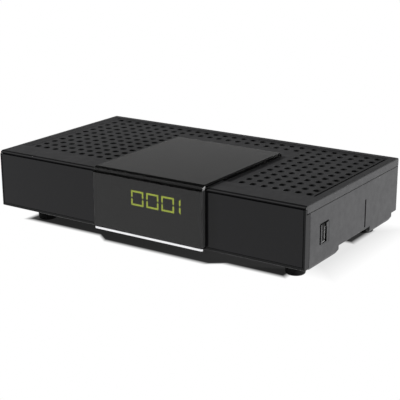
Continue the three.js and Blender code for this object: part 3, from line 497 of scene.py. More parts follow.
@dataclass(frozen=True)
class Gloss(Finish):
    """Polished black plastic with a barely wavy skin, fine rubbed lines and dust."""

    roughness: float
    specular: float = 0.5
    wave: float = 0.004

    def dress(self, graph: Graph) -> None:
        """Set up the shader.

        Args:
            graph: Nodes of the material.
        """
        dust = graph.remap(graph.noise(0.9, 3), 0, 1, 0.62, 0.8)
        rubbed = graph.noise(3, 3, (1, 0.15, 1))
        graph.set(Base_Color=graph.blend(dust, self.colour, tuple(c * 2.5 + 0.004 for c in self.colour)),
                  Roughness=graph.remap(rubbed, self.roughness * 0.8, self.roughness * 1.3),
                  Specular_IOR_Level=self.specular)
        graph.relief(graph.noise(9, 1), self.wave)


@dataclass(frozen=True)
class Metal(Finish):
    """Plated or drawn metal with fine lines along one direction."""

    roughness: float
    stretch: Point = (1, 1, 1)
    line: float = 0.3
    depth: float = 0.002

    def dress(self, graph: Graph) -> None:
        """Set up the shader.

        Args:
            graph: Nodes of the material.
        """
        lines = graph.noise(self.line, 2, self.stretch)
        graph.set(Base_Color=graph.cloudy(self.colour, 0.06, 6, 3), Metallic=1.0,
                  Roughness=graph.remap(lines, self.roughness * 0.8, self.roughness * 1.3))
        graph.relief(lines, self.depth)


@dataclass(frozen=True)
class Laminate(Finish):
    """Circuit board with a coloured solder mask over copper tracks and tinned pads."""

    track: Colour
    pad: Colour
    field: float = 9
    pitch: float = 4.2

    def dress(self, graph: Graph) -> None:
        """Set up the shader.

        Args:
            graph: Nodes of the material.
        """
        tracks = graph.out("TexBrick", {
            "Vector": graph.object, "Scale": 1 / (self.field * MM), "Mortar Size": 0.035, "Brick Width": 1.7,
            "Row Height": 0.22, "Color1": (0, 0, 0), "Color2": (0, 0, 0), "Mortar": (1, 1, 1),
        }, offset=0.37, squash=0.6, squash_frequency=3)
        dots = graph.out("TexVoronoi", {"Vector": graph.object, "Scale": 1 / (self.pitch * MM)}, feature="F1")
        pads = graph.remap(dots, 1, 0, 0.12, 0.16)
        tone = graph.blend(tracks, graph.cloudy(self.colour, 0.12, 20, 3), self.track)
        graph.set(Base_Color=graph.blend(pads, tone, self.pad), Metallic=graph.remap(pads, 0, 0.9, 0, 1),
                  Roughness=graph.remap(graph.noise(1.2, 2), 0.32, 0.5))
        graph.relief(tracks, 0.03)


@dataclass(frozen=True)
class Smoke(Finish):
    """Smoked clear plastic that darkens what lies behind it, with painted light on its right end: a lighter,
    less clear colour there, as if lit.
    """

    roughness: float
    # Colour of the painted light on the right end.
    end: Colour
    lit_end_place: Span = (-0.0716, -0.0706)

    def dress(self, graph: Graph) -> None:
        """Set up the shader.

        Args:
            graph: Nodes of the material.
        """
        # Painted light: faces turned to the right near the front get a lighter, less clear colour, as if lit
        # from the side.
        sideways = graph.split(graph.add("NewGeometry").outputs["Normal"])[0]
        ahead = graph.remap(graph.split(graph.object)[1], 1, 0, *self.lit_end_place)
        painted_lit_end = graph.math("MULTIPLY", graph.remap(sideways, 0, 1, 0.7, 0.9), ahead)
        graph.set(Base_Color=graph.blend(painted_lit_end, graph.cloudy(self.colour, 0.04, 8, 2), self.end),
                  Transmission_Weight=graph.math("SUBTRACT", 1.0, painted_lit_end), IOR=1.43, Specular_IOR_Level=0.42,
                  Roughness=graph.remap(graph.noise(2.5, 3, (1, 0.2, 1)), self.roughness * 0.7,
                                        self.roughness * 1.4))
        graph.relief(graph.noise(11, 1), 0.003)


@dataclass(frozen=True)
class Glow(Finish):
    """A lit segment, a little brighter in places."""

    strength: float

    def dress(self, graph: Graph) -> None:
        """Set up the shader.

        Args:
            graph: Nodes of the material.
        """
        graph.set(Base_Color=(0.02, 0.02, 0.01), Roughness=0.4, Emission_Strength=self.strength,
                  Emission_Color=graph.cloudy(self.colour, 0.12, 1.1, 2))


class Paint:
    """The finishes of this receiver."""

    CASE = Plastic("case_plastic", "matte_black", (0.034, 0.034, 0.035), 0.5, grain=0.8, specular=0.22)
    FRAME = Plastic("frame_plastic", "satin_black", (0.005, 0.005, 0.0055), 0.09, grain=0.5, depth=0.001,
                    specular=0.16)
    EDGE = Plastic("polished_edge", "gloss_black", (0.005, 0.005, 0.0055), 0.09, grain=0.5, depth=0.001,
                   specular=0.7)
    PANEL = Gloss("panel_gloss", "gloss_black", (0.004, 0.004, 0.005), 0.14, specular=0.25)
    # Its last colour is painted light on the right end of the cover.
    COVER = Smoke("cover_smoke", "gloss_black", (0.06, 0.06, 0.058), 0.07, (0.18, 0.18, 0.18))
    STRIP = Metal("strip_chrome", "chrome", (0.9, 0.9, 0.92), 0.16, (0.1, 1, 1))
    RUBBER = Plastic("foot_rubber", "rubber", (0.007, 0.007, 0.007), 0.85, grain=0.5, depth=0.03,
                     specular=0.2)
    # Near-black strip that paints shade into the socket recess.
    SHADE_BLACK = Plastic("painted_shade_black", "rubber", (0.002, 0.002, 0.002), 0.9, grain=0.5, specular=0.03)
    TIN = Plastic("socket_tin", "steel", (0.21, 0.21, 0.21), 0.5, grain=0.6, depth=0.003)
    STEEL = Metal("pressed_steel", "steel", (0.46, 0.47, 0.48), 0.34, (1, 0.2, 1))
    NICKEL = Metal("nickel_plate", "steel", (0.66, 0.63, 0.58), 0.24, (1, 0.3, 1))
    GOLD = Metal("contact_gold", "steel", (0.83, 0.6, 0.24), 0.22, (1, 0.3, 1))
    ALLOY = Metal("sink_aluminium", "aluminium", (0.5, 0.51, 0.52), 0.42, (0.15, 1, 1), depth=0.006)
    BOARD = Laminate("board_mask", "circuit_green", (0.006, 0.06, 0.022), (0.02, 0.11, 0.04),
                     (0.62, 0.6, 0.56))
    GLASS = Gloss("module_glass", "dark_glass", (0.006, 0.008, 0.006), 0.12)
    DIGIT = Glow("digit_light", "dark_glass", (0.42, 0.5, 0.045), 11)
    WHITE = Plastic("white_plastic", "white_plastic", (0.68, 0.68, 0.65), 0.45, spread=0.05)
    ORANGE = Plastic("orange_plastic", "orange_plastic", (0.62, 0.13, 0.015), 0.45, spread=0.08)
    GREY = Plastic("grey_plastic", "grey_plastic", (0.15, 0.155, 0.16), 0.55)
    BLACK = Plastic("moulded_black", "matte_black", (0.016, 0.016, 0.017), 0.5)
    SATIN = Plastic("satin_black", "satin_black", (0.011, 0.011, 0.012), 0.36, grain=0.4, depth=0.004)


@cache
def material(finish: Finish) -> bpy.types.Material:
    """Give the material of a finish, built on first use."""
    return finish.paint()


def settle(piece: Piece, finish: Finish, nodes: Sequence[str] = (), body: Body = Body.HOUSING,
           smooth: float = 35) -> None:
    """Shade a finished piece, give it its finish and tie it to the frame.

    Args:
        piece: The piece.
        finish: Its finish.
        nodes: Solids that it stands for.
        body: The body it rides on.
        smooth: Edges flatter than this many degrees are shaded smooth.
    """
    piece.data.materials.clear()
    piece.data.materials.append(material(finish))
    piece.data.shade_smooth()
    piece.data.set_sharp_from_angle(angle=math.radians(smooth))
    level = piece.modifiers.new("level", "WEIGHTED_NORMAL")
    level.keep_sharp, level.weight = True, 90
    flatten(piece)
    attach(piece, body.value)
    if nodes:
        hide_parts(*nodes)
    log.info("%s: %d faces", piece.name, len(piece.data.polygons))


def carry(name: str, node: str, edge: float, finish: Finish, limit: float = 40, body: Body = Body.HOUSING,
          smooth: float = 35) -> None:
    """Stand a copy of a solid in its place; softened and settle tell what the arguments are."""
    settle(softened(name, node, edge, limit), finish, [node], body, smooth)


# Geometry Nodes


class Tree(Nodes):
    """A tree of geometry nodes with named inputs."""

    family = "GeometryNode"

    def __init__(self, name: str, floats: Sequence[str], **others: str) -> None:
        """Start a tree that takes a geometry, named values and a finish, and gives a geometry.

        Args:
            name: Name of the tree.
            floats: Names of the inputs that take a number.
            **others: Names of the other inputs with their kind, an underscore standing for a space.
        """
        super().__init__(bpy.data.node_groups.new(name, "GeometryNodeTree"))
        kinds = {"Geometry": "Geometry", **dict.fromkeys(floats, "Float"),
                 **{key.replace("_", " "): kind for key, kind in others.items()}, "Finish": "Material"}
        face = self.tree.interface
        self.keys = {key: face.new_socket(key, in_out="INPUT", socket_type=f"NodeSocket{kind}").identifier
                     for key, kind in kinds.items()}
        face.new_socket("Geometry", in_out="OUTPUT", socket_type="NodeSocketGeometry")
        self.given = self.add("NodeGroupInput").outputs

    def moved(self, geometry: Socket, x: object = 0.0, y: object = 0.0, z: object = 0.0) -> Socket:
        """Move a geometry."""
        return self.out("Transform", {"Geometry": geometry, "Translation": self.vector(x, y, z)})

    def merged(self, how: Join, tools: list[Socket], first: Socket | None = None) -> Socket:
        """Add geometries together, or cut them away from a first one."""
        feeds = {"Mesh 1": first} if first else {}
        return self.out("MeshBoolean", {**feeds, "Mesh 2": tools}, operation=how.value, solver="MANIFOLD")

    def ends(self, geometry: Socket) -> None:
        """Close the tree with real geometry in its material.

        Args:
            geometry: What the tree has made.
        """
        real = self.out("RealizeInstances", {"Geometry": geometry})
        dressed = self.out("SetMaterial", {"Geometry": real, "Material": self.given["Finish"]})
        self.add("NodeGroupOutput", {0: dressed})

    def run(self, piece: Piece, finish: Finish, sizes: dict[str, object], **values: object) -> Piece:
        """Apply the tree to a piece.

        Args:
            piece: The piece that carries the tree.
            finish: The finish of the result.
            sizes: Inputs in millimetres, by name.
            **values: Other inputs, an underscore standing for a space.

        Returns:
            The piece with a plain mesh.
        """
        step = piece.modifiers.new(self.tree.name, "NODES")
        step.node_group = self.tree
        for key, value in {"Finish": material(finish), **values}.items():
            step[self.keys[key.replace("_", " ")]] = value
        for key, size in sizes.items():
            step[self.keys[key]] = size * MM
        return flatten(piece)


def vent_tree() -> Tree:
    """Build the tree that drills a grid of round vents through a cover.

    Returns:
        The tree.
    """
    tree = Tree("vent_grid", ("Pitch Across", "Pitch Along", "First Across", "First Along", "Hole Radius",
                              "Rim", "Break Place", "Break Gap", "Clear Left", "Clear Right", "Clear Rear",
                              "Top Height"), Columns="Int", Rows="Int")
    given, sides = tree.given, 20
    width, length = (tree.math("MULTIPLY", tree.math("SUBTRACT", given[count], 1.0), given[pitch])
                     for count, pitch in (("Columns", "Pitch Across"), ("Rows", "Pitch Along")))
    grid = tree.out("MeshGrid", {"Size X": width, "Size Y": length, "Vertices X": given["Columns"],
                                 "Vertices Y": given["Rows"]})
    placed = tree.moved(grid, tree.math("MULTIPLY_ADD", width, 0.5, given["First Across"]),
                        tree.math("MULTIPLY_ADD", length, 0.5, given["First Along"]), given["Top Height"])
    x, y, _ = tree.split(tree.out("InputPosition"))
    past = tree.math("MULTIPLY", tree.math("GREATER_THAN", x, given["Break Place"]), given["Break Gap"])
    spread = tree.out("SetPosition", {"Geometry": placed, "Offset": tree.vector(past)})
    inside = tree.math("MULTIPLY", tree.math("GREATER_THAN", x, given["Clear Left"]),
                       tree.math("LESS_THAN", x, given["Clear Right"]))
    under = tree.math("MULTIPLY", inside, tree.math("LESS_THAN", y, given["Clear Rear"]))
    kept = tree.out("DeleteGeometry", {"Geometry": spread, "Selection": under}, domain="POINT")
    drill = tree.out("MeshCylinder", {"Vertices": sides, "Radius": given["Hole Radius"], "Depth": 12 * MM})
    rim = tree.math("MULTIPLY", given["Rim"], 2.0)
    sink = tree.out("MeshCone", {
        "Vertices": sides, "Radius Bottom": given["Hole Radius"],
        "Radius Top": tree.math("ADD", rim, given["Hole Radius"]), "Depth": rim,
    })
    geometry = given["Geometry"]
    for form in (drill, tree.moved(sink, z=tree.math("MULTIPLY", rim, -0.5))):
        holes = tree.out("InstanceOnPoints", {"Points": kept, "Instance": form})
        geometry = tree.merged(Join.CUT, [tree.out("RealizeInstances", {"Geometry": holes})], geometry)
    tree.ends(geometry)
    return tree


def screw_tree() -> Tree:
    """Build the tree that sets slotted pan-head screws on points.

    Returns:
        The tree.
    """
    tree = Tree("slotted_screws", ("Head Radius", "Head Height", "Shank Radius", "Length", "Slot Width"),
                Turn="Vector")
    given = tree.given
    radius, height, length = given["Head Radius"], given["Head Height"], given["Length"]
    under, thin, thick, wide = (tree.math("MULTIPLY", size, share) for size, share in (
        (radius, 0.8), (height, 0.35), (height, 0.66), (radius, 4.0)))
    crown = tree.out("MeshCone", {"Vertices": 32, "Radius Top": radius, "Radius Bottom": under,
                                  "Depth": thin})
    rim = tree.out("MeshCylinder", {"Vertices": 32, "Radius": radius, "Depth": thick})
    shank = tree.out("MeshCylinder", {"Vertices": 24, "Radius": given["Shank Radius"], "Depth": length})
    slot = tree.out("MeshCube", {"Size": tree.vector(wide, given["Slot Width"], height)})
    *solid, groove = (tree.moved(form, z=tree.math("MULTIPLY", size, share)) for form, size, share in (
        (crown, height, -1.0), (rim, height, -0.33), (shank, length, 0.499), (slot, height, -1.1)))
    screw = tree.merged(Join.CUT, [groove], tree.merged(Join.ADD, solid))
    tree.ends(tree.out("InstanceOnPoints", {"Points": given["Geometry"], "Instance": screw,
                                            "Rotation": given["Turn"]}))
    return tree


def row_tree() -> Tree:
    """Build the tree that sets small bars on points, each turned and sized a little at random.

    Returns:
        The tree.
    """
    tree = Tree("small_bars", ("Least",), Size="Vector", Quarter_Turns="Int", Seed="Int")
    given = tree.given
    scale = tree.add("FunctionNodeRandomValue", {2: given["Least"], 3: 1.0, "Seed": given["Seed"]},
                     data_type="FLOAT").outputs[1]
    turns = tree.add("FunctionNodeRandomValue", {4: 0, 5: given["Quarter Turns"], "Seed": given["Seed"]},
                     data_type="INT").outputs[2]
    tree.ends(tree.out("InstanceOnPoints", {
        "Points": given["Geometry"], "Instance": tree.out("MeshCube", {"Size": given["Size"]}),
        "Rotation": tree.vector(z=tree.math("MULTIPLY", turns, math.pi / 2)), "Scale": scale,
    }))
    return tree


# Sub-assemblies, all sizes in millimetres


@dataclass
class TopCover:
    """The lid: a rounded rim round a lowered field of vents, with a lap inside each side wall."""

    x: Span = (-124.5, 125.5)
    y: Span = (-69.5, 65.0)
    top: float = 54.5
    seam: float = 49.3
    underside: float = 51.3
    wall: float = 2.2
    front_gap: float = 0.85
    ease: float = 3.5
    edge: float = 0.8
    corner: float = 1.1
    lip: float = 0.25
    groove: Span = (117.3, 120.1)
    groove_depth: float = 0.7
    field_x: Span = (-117.5, 118.5)
    field_y: Span = (-50.0, 60.0)
    field_top: float = 53.5
    vents: tuple[tuple[str, float], ...] = (
        ("Pitch Across", 8.315), ("Pitch Along", 9.056), ("First Across", -112.4), ("First Along", -43.4),
        ("Hole Radius", 2.6), ("Rim", 0.16), ("Break Place", 54.0), ("Break Gap", 1.43),
        ("Clear Left", -40.0), ("Clear Right", 58.0), ("Clear Rear", 42.0), ("Top Height", 53.5),
    )
    bite: float = 0.3
    lap: Span = (0.3, 1.6)
    lap_y: Span = (-65.4, 46.5)
    lap_depth: float = 3.0
    ribs: Area = ((-40.5, -38.9), (57.1, 58.7))
    rib_y: Span = (-50.0, 27.0)
    rib_depth: float = 3.2
    boss: float = 7.0
    boss_end: float = 42.4
    screw_hole: float = 3.6
    peg_hole: float = 4.6
    boss_places: tuple[Flat, Flat] = ((-116.9, 51.688), (117.9, 51.688))
    peg_places: tuple[Flat, Flat] = ((-19.9, -5.0), (38.1, -5.0))

    def shell(self) -> Piece:
        """Skin the lid over rings that run from its field over the rim and back under it.

        Returns:
            The lid without vents.
        """
        field, field_y, lip = self.field_x, self.field_y, self.lip
        eased_x = (field[0] - self.ease, field[1])
        rows = [(field, field_y, lip, 0.6, self.field_top), (field, field_y, 0, 0.8, self.field_top + lip),
                (eased_x, field_y, 0, 0.8, self.top - lip), (eased_x, field_y, -lip, 1.0, self.top)]
        rows += [(self.x, self.y, by, self.corner - by, self.top - drop)
                 for by, drop in quarter(self.edge, 6)]
        rows += [(self.x, self.y, by, radius, z) for by, radius, z in (
            (0, self.corner, self.seam), (self.wall, 0.4, self.seam), (self.wall, 0.4, self.underside))]
        return skin("lid", [[(u, v, z) for u, v in rounded(inset(x, by), inset(y, by), radius, 6)]
                            for x, y, by, radius, z in rows])

    def inside(self, lid: Piece) -> Piece:
        """Open the front edge and add laps, ribs and bosses under the lid.

        Args:
            lid: The lid.

        Returns:
            The lid.
        """
        inner, front, under = inset(self.x, self.wall), self.y[0], self.underside
        (gap, far), inlet = self.lap, under + self.bite
        combine(
            lid, Join.CUT,
            tool(inner, (front - 2, front + 4), (self.seam - 2, under), 0.1, 0.05),
            tool(inset(self.x, self.corner), (front - 2, front + self.front_gap),
                 (self.seam - 2, self.top + 2), 0.1, 0.05),
            tool(self.groove, inset(self.field_y, 1), (self.field_top - self.groove_depth, self.top + 1),
                 0.1, 0.05))
        adds = []
        for wall, turn, rib, place in zip(inner, (1, -1), self.ribs, self.boss_places):
            lap, root = (sorted((wall + start * turn, wall + far * turn)) for start in (gap, -self.bite))
            adds += [
                tool(lap, self.lap_y, (self.seam - self.lap_depth, inlet), 0.2, 0.15, 2),
                tool(root, self.lap_y, (self.seam + self.bite, inlet + 0.05), 0.2, 0.1, 2),
                tool(rib, self.rib_y, (under - self.rib_depth, inlet), 0.2, 0.2, 2),
                lathe("boss", [(self.boss / 2, z) for z in (self.boss_end, inlet)], Axis.Z, place, 32),
            ]
        combine(lid, Join.ADD, *adds)
        holes = [lathe("hole", [(width / 2, low), (width / 2, high)], Axis.Z, place, 24)
                 for width, low, high, places in ((self.screw_hole, 40, under, self.boss_places),
                                                  (self.peg_hole, 45, self.top + 1, self.peg_places))
                 for place in places]
        return combine(lid, Join.CUT, *holes)

    def build(self) -> None:
        """Make the lid with its vents."""
        lid = self.inside(self.shell())
        vent_tree().run(lid, Paint.CASE, dict(self.vents), Columns=28, Rows=12)
        settle(lid, Paint.CASE, ["top_cover"])


@dataclass
class BaseShell:
    """The lower shell with its rails, side slits and socket window."""

    edge: float = 0.28
    plate_x: Span = (125.1, 125.32)
    plate_y: Span = (-52.0, -39.6)
    plate_z: Span = (23.85, 38.25)
    slots: Flat = (1.9, 1.25)
    rear: float = 0.8
    socket_y: Span = (-48.7, -43.0)
    socket_z: Span = (24.5, 37.6)
    catch: float = 3.2

    def build(self) -> None:
        """Break the edges of the shell as a mould does and set a thin plate in the socket recess."""
        shell = softened("shell", "base_shell", self.edge)
        (y0, y1), (z0, z1), (s0, s1), low = self.plate_y, self.plate_z, self.socket_y, self.socket_z[0]
        front, above = self.slots
        side, catch = y1 - self.rear, self.socket_z[1] - self.catch
        back, face = self.plate_x[0] - 5, self.plate_x[0] + 0.05
        through, behind = (back, self.plate_x[1] + 1), (back, face)
        plate = combine(
            tool(self.plate_x, inset(self.plate_y, -0.5), inset(self.plate_z, -0.5)), Join.CUT,
            tool(through, (y0 - 1, y0 + front), (z0 + 0.6, z1)),
            tool(through, (y0 - 1, side), (z1 - above, z1 + 1)),
            tool(through, self.socket_y, self.socket_z),
            tool(through, (s1 - 0.3, s1 + 0.6), (low, catch)))
        posts = combine(
            tool((self.plate_x[0] - 1, face), (y0 + front + 0.3, y1 + 0.5), (z0 - 0.5, z1 - above - 0.3)),
            Join.CUT,
            tool(through, (s0 - 0.8, s1 + 1.6), (low - 0.9, catch)),
            tool(through, inset(self.socket_y, -0.05), inset(self.socket_z, -0.05)))
        combine(
            shell, Join.CUT,
            tool(behind, (y0 + 0.02, y0 + front + 1), (z0 + 0.8, z1 - 0.02)),
            tool(behind, (y0 + 0.02, side), (z1 - above - 0.3, z1 - 0.02)),
            tool(behind, (s1 - 3, s1 + 1.6), (low - 0.5, catch)))
        combine(shell, Join.ADD, posts, plate)
        settle(shell, Paint.CASE, ["base_shell"])
        # Painted shade: a near-black strip behind the top slot of the socket recess darkens it where its
        # shade falls.
        painted_shade_strip = block("window_shade_strip", (self.plate_x[0] - 0.5, self.plate_x[0] + 0.12), (y0 + 0.1, side),
                     (z1 - above + 0.1, z1 - 0.1), Axis.Z, 0.1, 0.05, 2)
        settle(painted_shade_strip, Paint.SHADE_BLACK)


@dataclass
class FrontFrame:
    """The front frame with its two polished panels."""

    edge: float = 0.18
    x: Span = (-124.3, 125.3)
    y: Span = (-71.0, -70.0)
    z: Span = (15.3, 52.1)
    top: float = 54.45
    radius: float = 2.3
    start: float = 13.0
    end: float = 0.4
    panels: tuple[tuple[str, Span], ...] = (("left", (-122.9, -31.1)), ("right", (49.3, 123.9)))
    panel_corner: float = 0.35
    panel_edge: float = 0.22

    def bar(self) -> Piece:
        """Make the rounded glossy edge over the panels.

        Returns:
            The bar.
        """
        centre = (self.y[0] + self.radius, self.top - self.radius)
        return skin_along_x("front_edge", [
            (x, [*arc(centre, self.radius - by, 180 - self.start, 90, 10), centre])
            for by, x in eased(self.x, (self.end, self.end), (4, 4))])

    def build(self) -> None:
        """Make the frame and the panels."""
        clear = tool(inset(self.x, -2), (self.y[0] - 1, self.y[0] + 1.7),
                     (self.top - self.radius + 0.04, self.top + 2))
        settle(combine(softened("frame", "front_frame", self.edge), Join.CUT, clear), Paint.FRAME,
               ["front_frame"])
        settle(self.bar(), Paint.EDGE)
        for side, x in self.panels:
            panel = block(f"{side}_panel", x, self.y, self.z, Axis.Y, self.panel_corner, self.panel_edge)
            settle(panel, Paint.PANEL, [f"{side}_front_panel"])


@dataclass
class CentreCover:
    """The raised smoked cover: a front plate that bends back over the lid."""

    x: Span = (-35.1, 53.3)
    front: float = -75.0
    rear: float = 27.0
    low: float = 15.0
    top: float = 56.5
    nose: float = 4.6
    rear_edge: float = 2.0
    edges: Span = (0.12, 0.9)
    wall: float = 1.8
    roof: float = 2.3
    behind: float = -71.3
    field_front: float = -50.0
    under_field: float = 53.8
    under_rim: float = 54.8
    peg: tuple[Flat, ...] = ((1.6, 48.3), (2.0, 48.7), (2.0, 54.3))
    peg_places: tuple[Flat, Flat] = ((-19.9, -5.0), (38.1, -5.0))

    def section(self, by: float) -> list[Flat]:
        """Draw the side outline drawn in all round.

        Args:
            by: How far it is drawn in.

        Returns:
            Points as y and z.
        """
        foot = self.low - 3
        return [(self.front + by, foot),
                *arc((self.front + self.nose, self.top - self.nose), self.nose - by, 180, 90, 14),
                *arc((self.rear - self.rear_edge, self.top - self.rear_edge), self.rear_edge - by, 90, 0, 8),
                (self.rear - by, foot)]

    def build(self) -> None:
        """Make the cover."""
        cover = skin_along_x("smoked_cover", [(x, self.section(by))
                                              for by, x in eased(self.x, self.edges, (5, 10))])
        wide = inset(self.x, -5)
        combine(
            cover, Join.CUT,
            tool(wide, (self.behind, self.rear + 5), (0, self.under_field), 0.02, 0.01),
            tool(wide, (self.behind, self.field_front), (0, self.under_rim), 0.02, 0.01),
            tool(wide, (self.front - 5, self.rear + 5), (0, self.low), 0.02, 0.01),
            tool(inset(self.x, self.wall), (self.front + self.wall, self.behind + 2),
                 (self.low + self.wall, self.top - self.roof), 0.5, 0.3, 2))
        combine(cover, Join.ADD, *(lathe("peg", self.peg, Axis.Z, place, 24) for place in self.peg_places))
        settle(cover, Paint.COVER, ["centre_cover"], smooth=30)


@dataclass
class BrightStrip:
    """The bright strip under the centre cover."""

    x: Span = (-35.1, 53.3)
    y: Span = (-75.0, -71.3)
    z: Span = (12.9, 14.7)
    corner: float = 1.4
    edge: float = 0.35

    def build(self) -> None:
        """Make the strip."""
        strip = block("bright_trim", self.x, self.y, self.z, Axis.Z, self.corner, self.edge, 5)
        settle(strip, Paint.STRIP, ["bright_strip"])


@dataclass
class Display:
    """The digit module with its lit segments, the eye beside it, the board and the ribbon."""

    y: float = -72.98
    thickness: float = 0.08
    z: Span = (34.5, 44.8)
    digits: tuple[tuple[str, Span], ...] = (
        ("0", (-3.98, 6.12)), ("0", (8.5, 18.32)), ("0", (20.68, 30.76)), ("1", (26.1, 35.87)),
    )
    stroke: float = 1.2
    waist: float = 0.3
    mitre: float = 0.08

    def segments(self, digit: str, x: Span) -> list[list[Flat]]:
        """Draw the lit segments of a digit, mitred at its corners and pointed at its waist.

        Args:
            digit: 0 or 1.
            x: Reach of the digit.

        Returns:
            Their outlines as x and z.
        """
        t, mitre = self.stroke, self.mitre
        lit = []
        for end, up in ((self.z[1], 1), (self.z[0], -1)):
            point = sum(self.z) / 2 + up * self.waist
            shoulder = point + up * t / 2
            for outer, side in ((x[1], 1), (x[0], -1))[:1 if digit == "1" else 2]:
                inner = outer - side * t
                lit.append([(outer, end - up * mitre), (inner, end - up * (t + mitre)), (inner, shoulder),
                            ((outer + inner) / 2, point), (outer, shoulder)])
            if digit == "0":
                lit.append([(x[0] + mitre, end), (x[1] - mitre, end), (x[1] - mitre - t, end - up * t),
                            (x[0] + mitre + t, end - up * t)])
        return lit

    def lights(self) -> Piece:
        """Make all the lit segments as one piece.

        Returns:
            The piece.
        """
        points: list[Point] = []
        faces: list[tuple[int, ...]] = []
        for digit, x in self.digits:
            for outline in self.segments(digit, x):
                faces += skin_faces(len(outline), 2, first=len(points))
                points += [(u, y, v) for y in (self.y, self.y + self.thickness) for u, v in outline]
        return mesh_piece("digit_segments", points, faces)

    def build(self) -> None:
        """Make the display parts."""
        settle(self.lights(), Paint.DIGIT)
        carry("digit_module", "display_module", 0.2, Paint.GLASS)
        carry("signal_eye", "remote_eye", 0, Paint.GLASS, smooth=50)
        carry("digit_board", "display_board", 0.08, Paint.BOARD)
        carry("ribbon_socket", "ribbon_header", 0.2, Paint.WHITE)
        carry("ribbon", "ribbon_cable", 0.15, Paint.GREY)


@dataclass
class SideSocket:
    """The memory-stick socket that stands on edge in the right side wall."""

    x: Span = (110.2, 124.2)
    y: Span = (-48.7, -43.0)
    z: Span = (24.5, 37.6)
    sheet: float = 0.3
    tongue_x: Span = (110.8, 122.4)
    tongue_y: Span = (-45.5, -43.6)
    tongue_z: Span = (25.5, 36.6)
    contact: Point = (9.0, 0.1, 1.1)
    contact_x: float = 117.6
    contact_steps: tuple[float, ...] = (-3.5, -1.0, 1.0, 3.5)

    def build(self) -> None:
        """Make the shell, the tongue and its contacts."""
        outer = rounded(self.y, self.z, 0.8)
        inner = rounded(inset(self.y, self.sheet), inset(self.z, self.sheet), 0.5)
        shell = skin_along_x("stick_socket_shell", [(self.x[0], outer), (self.x[1], outer),
                                                    (self.x[1], inner), (self.x[0] + self.sheet, inner)])
        settle(shell, Paint.TIN, ["usb_shell"])
        tongue = block("stick_socket_tongue", self.tongue_x, self.tongue_y, self.tongue_z, Axis.X, 0.25, 0.25)
        settle(tongue, Paint.CASE, ["usb_tongue"])
        seats = [(self.contact_x, self.tongue_y[0] - 0.04, sum(self.tongue_z) / 2 + step)
                 for step in self.contact_steps]
        contacts = row_tree().run(mesh_piece("stick_socket_contacts", seats, []), Paint.GOLD,
                                  {"Size": Vector(self.contact)}, Least=1.0, Quarter_Turns=0, Seed=1)
        settle(contacts, Paint.GOLD)


@dataclass
class RearSockets:
    """The rear panel with its sockets."""

    aerial: Flat = (-85.5, 34.7)
    thread: Flat = (4.3, 4.75)
    thread_y: Span = (64.7, 74.2)
    thread_pitch: float = 0.8
    collar_end: float = 58.4
    mouth: tuple[Flat, ...] = ((4.4, 75.0), (2.9, 75.0), (2.7, 74.7), (2.7, 72.6), (0.8, 72.6), (0.8, 66.8))
    audio: Flat = (42.5, 31.0)
    collar: tuple[Flat, ...] = ((4.15, 59.4), (4.15, 70.2), (3.9, 70.5), (1.9, 70.5), (1.65, 70.2),
                                (1.65, 63.5))

    def threaded(self) -> Piece:
        """Turn the aerial socket with its thread, bore and pin hole.

        Returns:
            The piece.
        """
        root, crest = self.thread
        place, end = self.thread_y
        profile = [(crest, self.collar_end), (crest, place - 0.5)]
        while place < end:
            profile += [(root, place), (crest, place + 0.3), (crest, place + 0.5)]
            place += self.thread_pitch
        return lathe("aerial_thread", [*profile, *self.mouth], Axis.Y, self.aerial)

    def build(self) -> None:
        """Make the panel and each socket."""
        carry("socket_panel", "rear_panel", 0.15, Paint.BLACK)
        settle(self.threaded(), Paint.NICKEL, ["aerial_socket"], smooth=30)
        carry("thread_nut", "aerial_nut", 0.3, Paint.NICKEL, 50)
        carry("tuner_box", "tuner_can", 0.3, Paint.STEEL, 50)
        carry("video_shell", "hdmi_shell", 0.1, Paint.STEEL)
        carry("video_tongue", "hdmi_tongue", 0.15, Paint.BLACK)
        carry("multi_pin_socket", "scart_socket", 0.15, Paint.BLACK)
        carry("audio_block", "audio_socket_body", 0.25, Paint.ORANGE)
        settle(lathe("audio_collar", self.collar, Axis.Y, self.audio), Paint.NICKEL, ["audio_socket_ring"])
        carry("power_block", "power_socket_body", 0.2, Paint.BLACK)
        carry("power_pin", "power_socket_pin", 0.2, Paint.NICKEL, smooth=50)
        carry("rocker_case", "rocker_housing", 0.2, Paint.BLACK)


@dataclass
class MovingParts:
    """The rear rocker and the standby key with its plunger."""

    edge: float = 0.2
    plunger_edge: float = 0.15
    limit: float = 50

    def build(self) -> None:
        """Make the moving pieces."""
        carry("rocker_blade", "power_rocker", self.edge, Paint.SATIN, self.limit, Body.ROCKER)
        carry("key_cap", "standby_key", self.edge, Paint.SATIN, self.limit, Body.KEY)
        carry("key_plunger", "switch_plunger", self.plunger_edge, Paint.GREY, self.limit, Body.KEY)
        carry("key_switch", "standby_switch", self.edge, Paint.BLACK, self.limit)


@dataclass
class Feet:
    """Four turned rubber feet."""

    places: tuple[tuple[str, Flat], ...] = (
        ("front_left", (-104.5, -45.5)), ("front_right", (105.5, -45.5)),
        ("rear_left", (-104.5, 55.5)), ("rear_right", (105.5, 55.5)),
    )
    radius: float = 7.1
    taper: float = 0.5
    edge: float = 1.4
    height: float = 15.6
    recess: float = 3.7
    recess_depth: float = 4.0
    recess_edge: float = 0.3
    bore: float = 1.8

    def build(self) -> None:
        """Turn each foot."""
        rim, lead = self.radius - self.taper, self.recess_edge
        profile = [(self.recess, self.recess_depth), (self.recess, lead), (self.recess + lead, 0)]
        profile += [(rim - by, along) for by, along in quarter(self.edge, 6)]
        profile += [(self.radius, self.height), (self.bore, self.height), (self.bore, self.recess_depth)]
        for name, place in self.places:
            foot = lathe(f"rubber_foot_{name}", profile, Axis.Z, place, 48, around=True)
            settle(foot, Paint.RUBBER, [f"foot_{name}"])


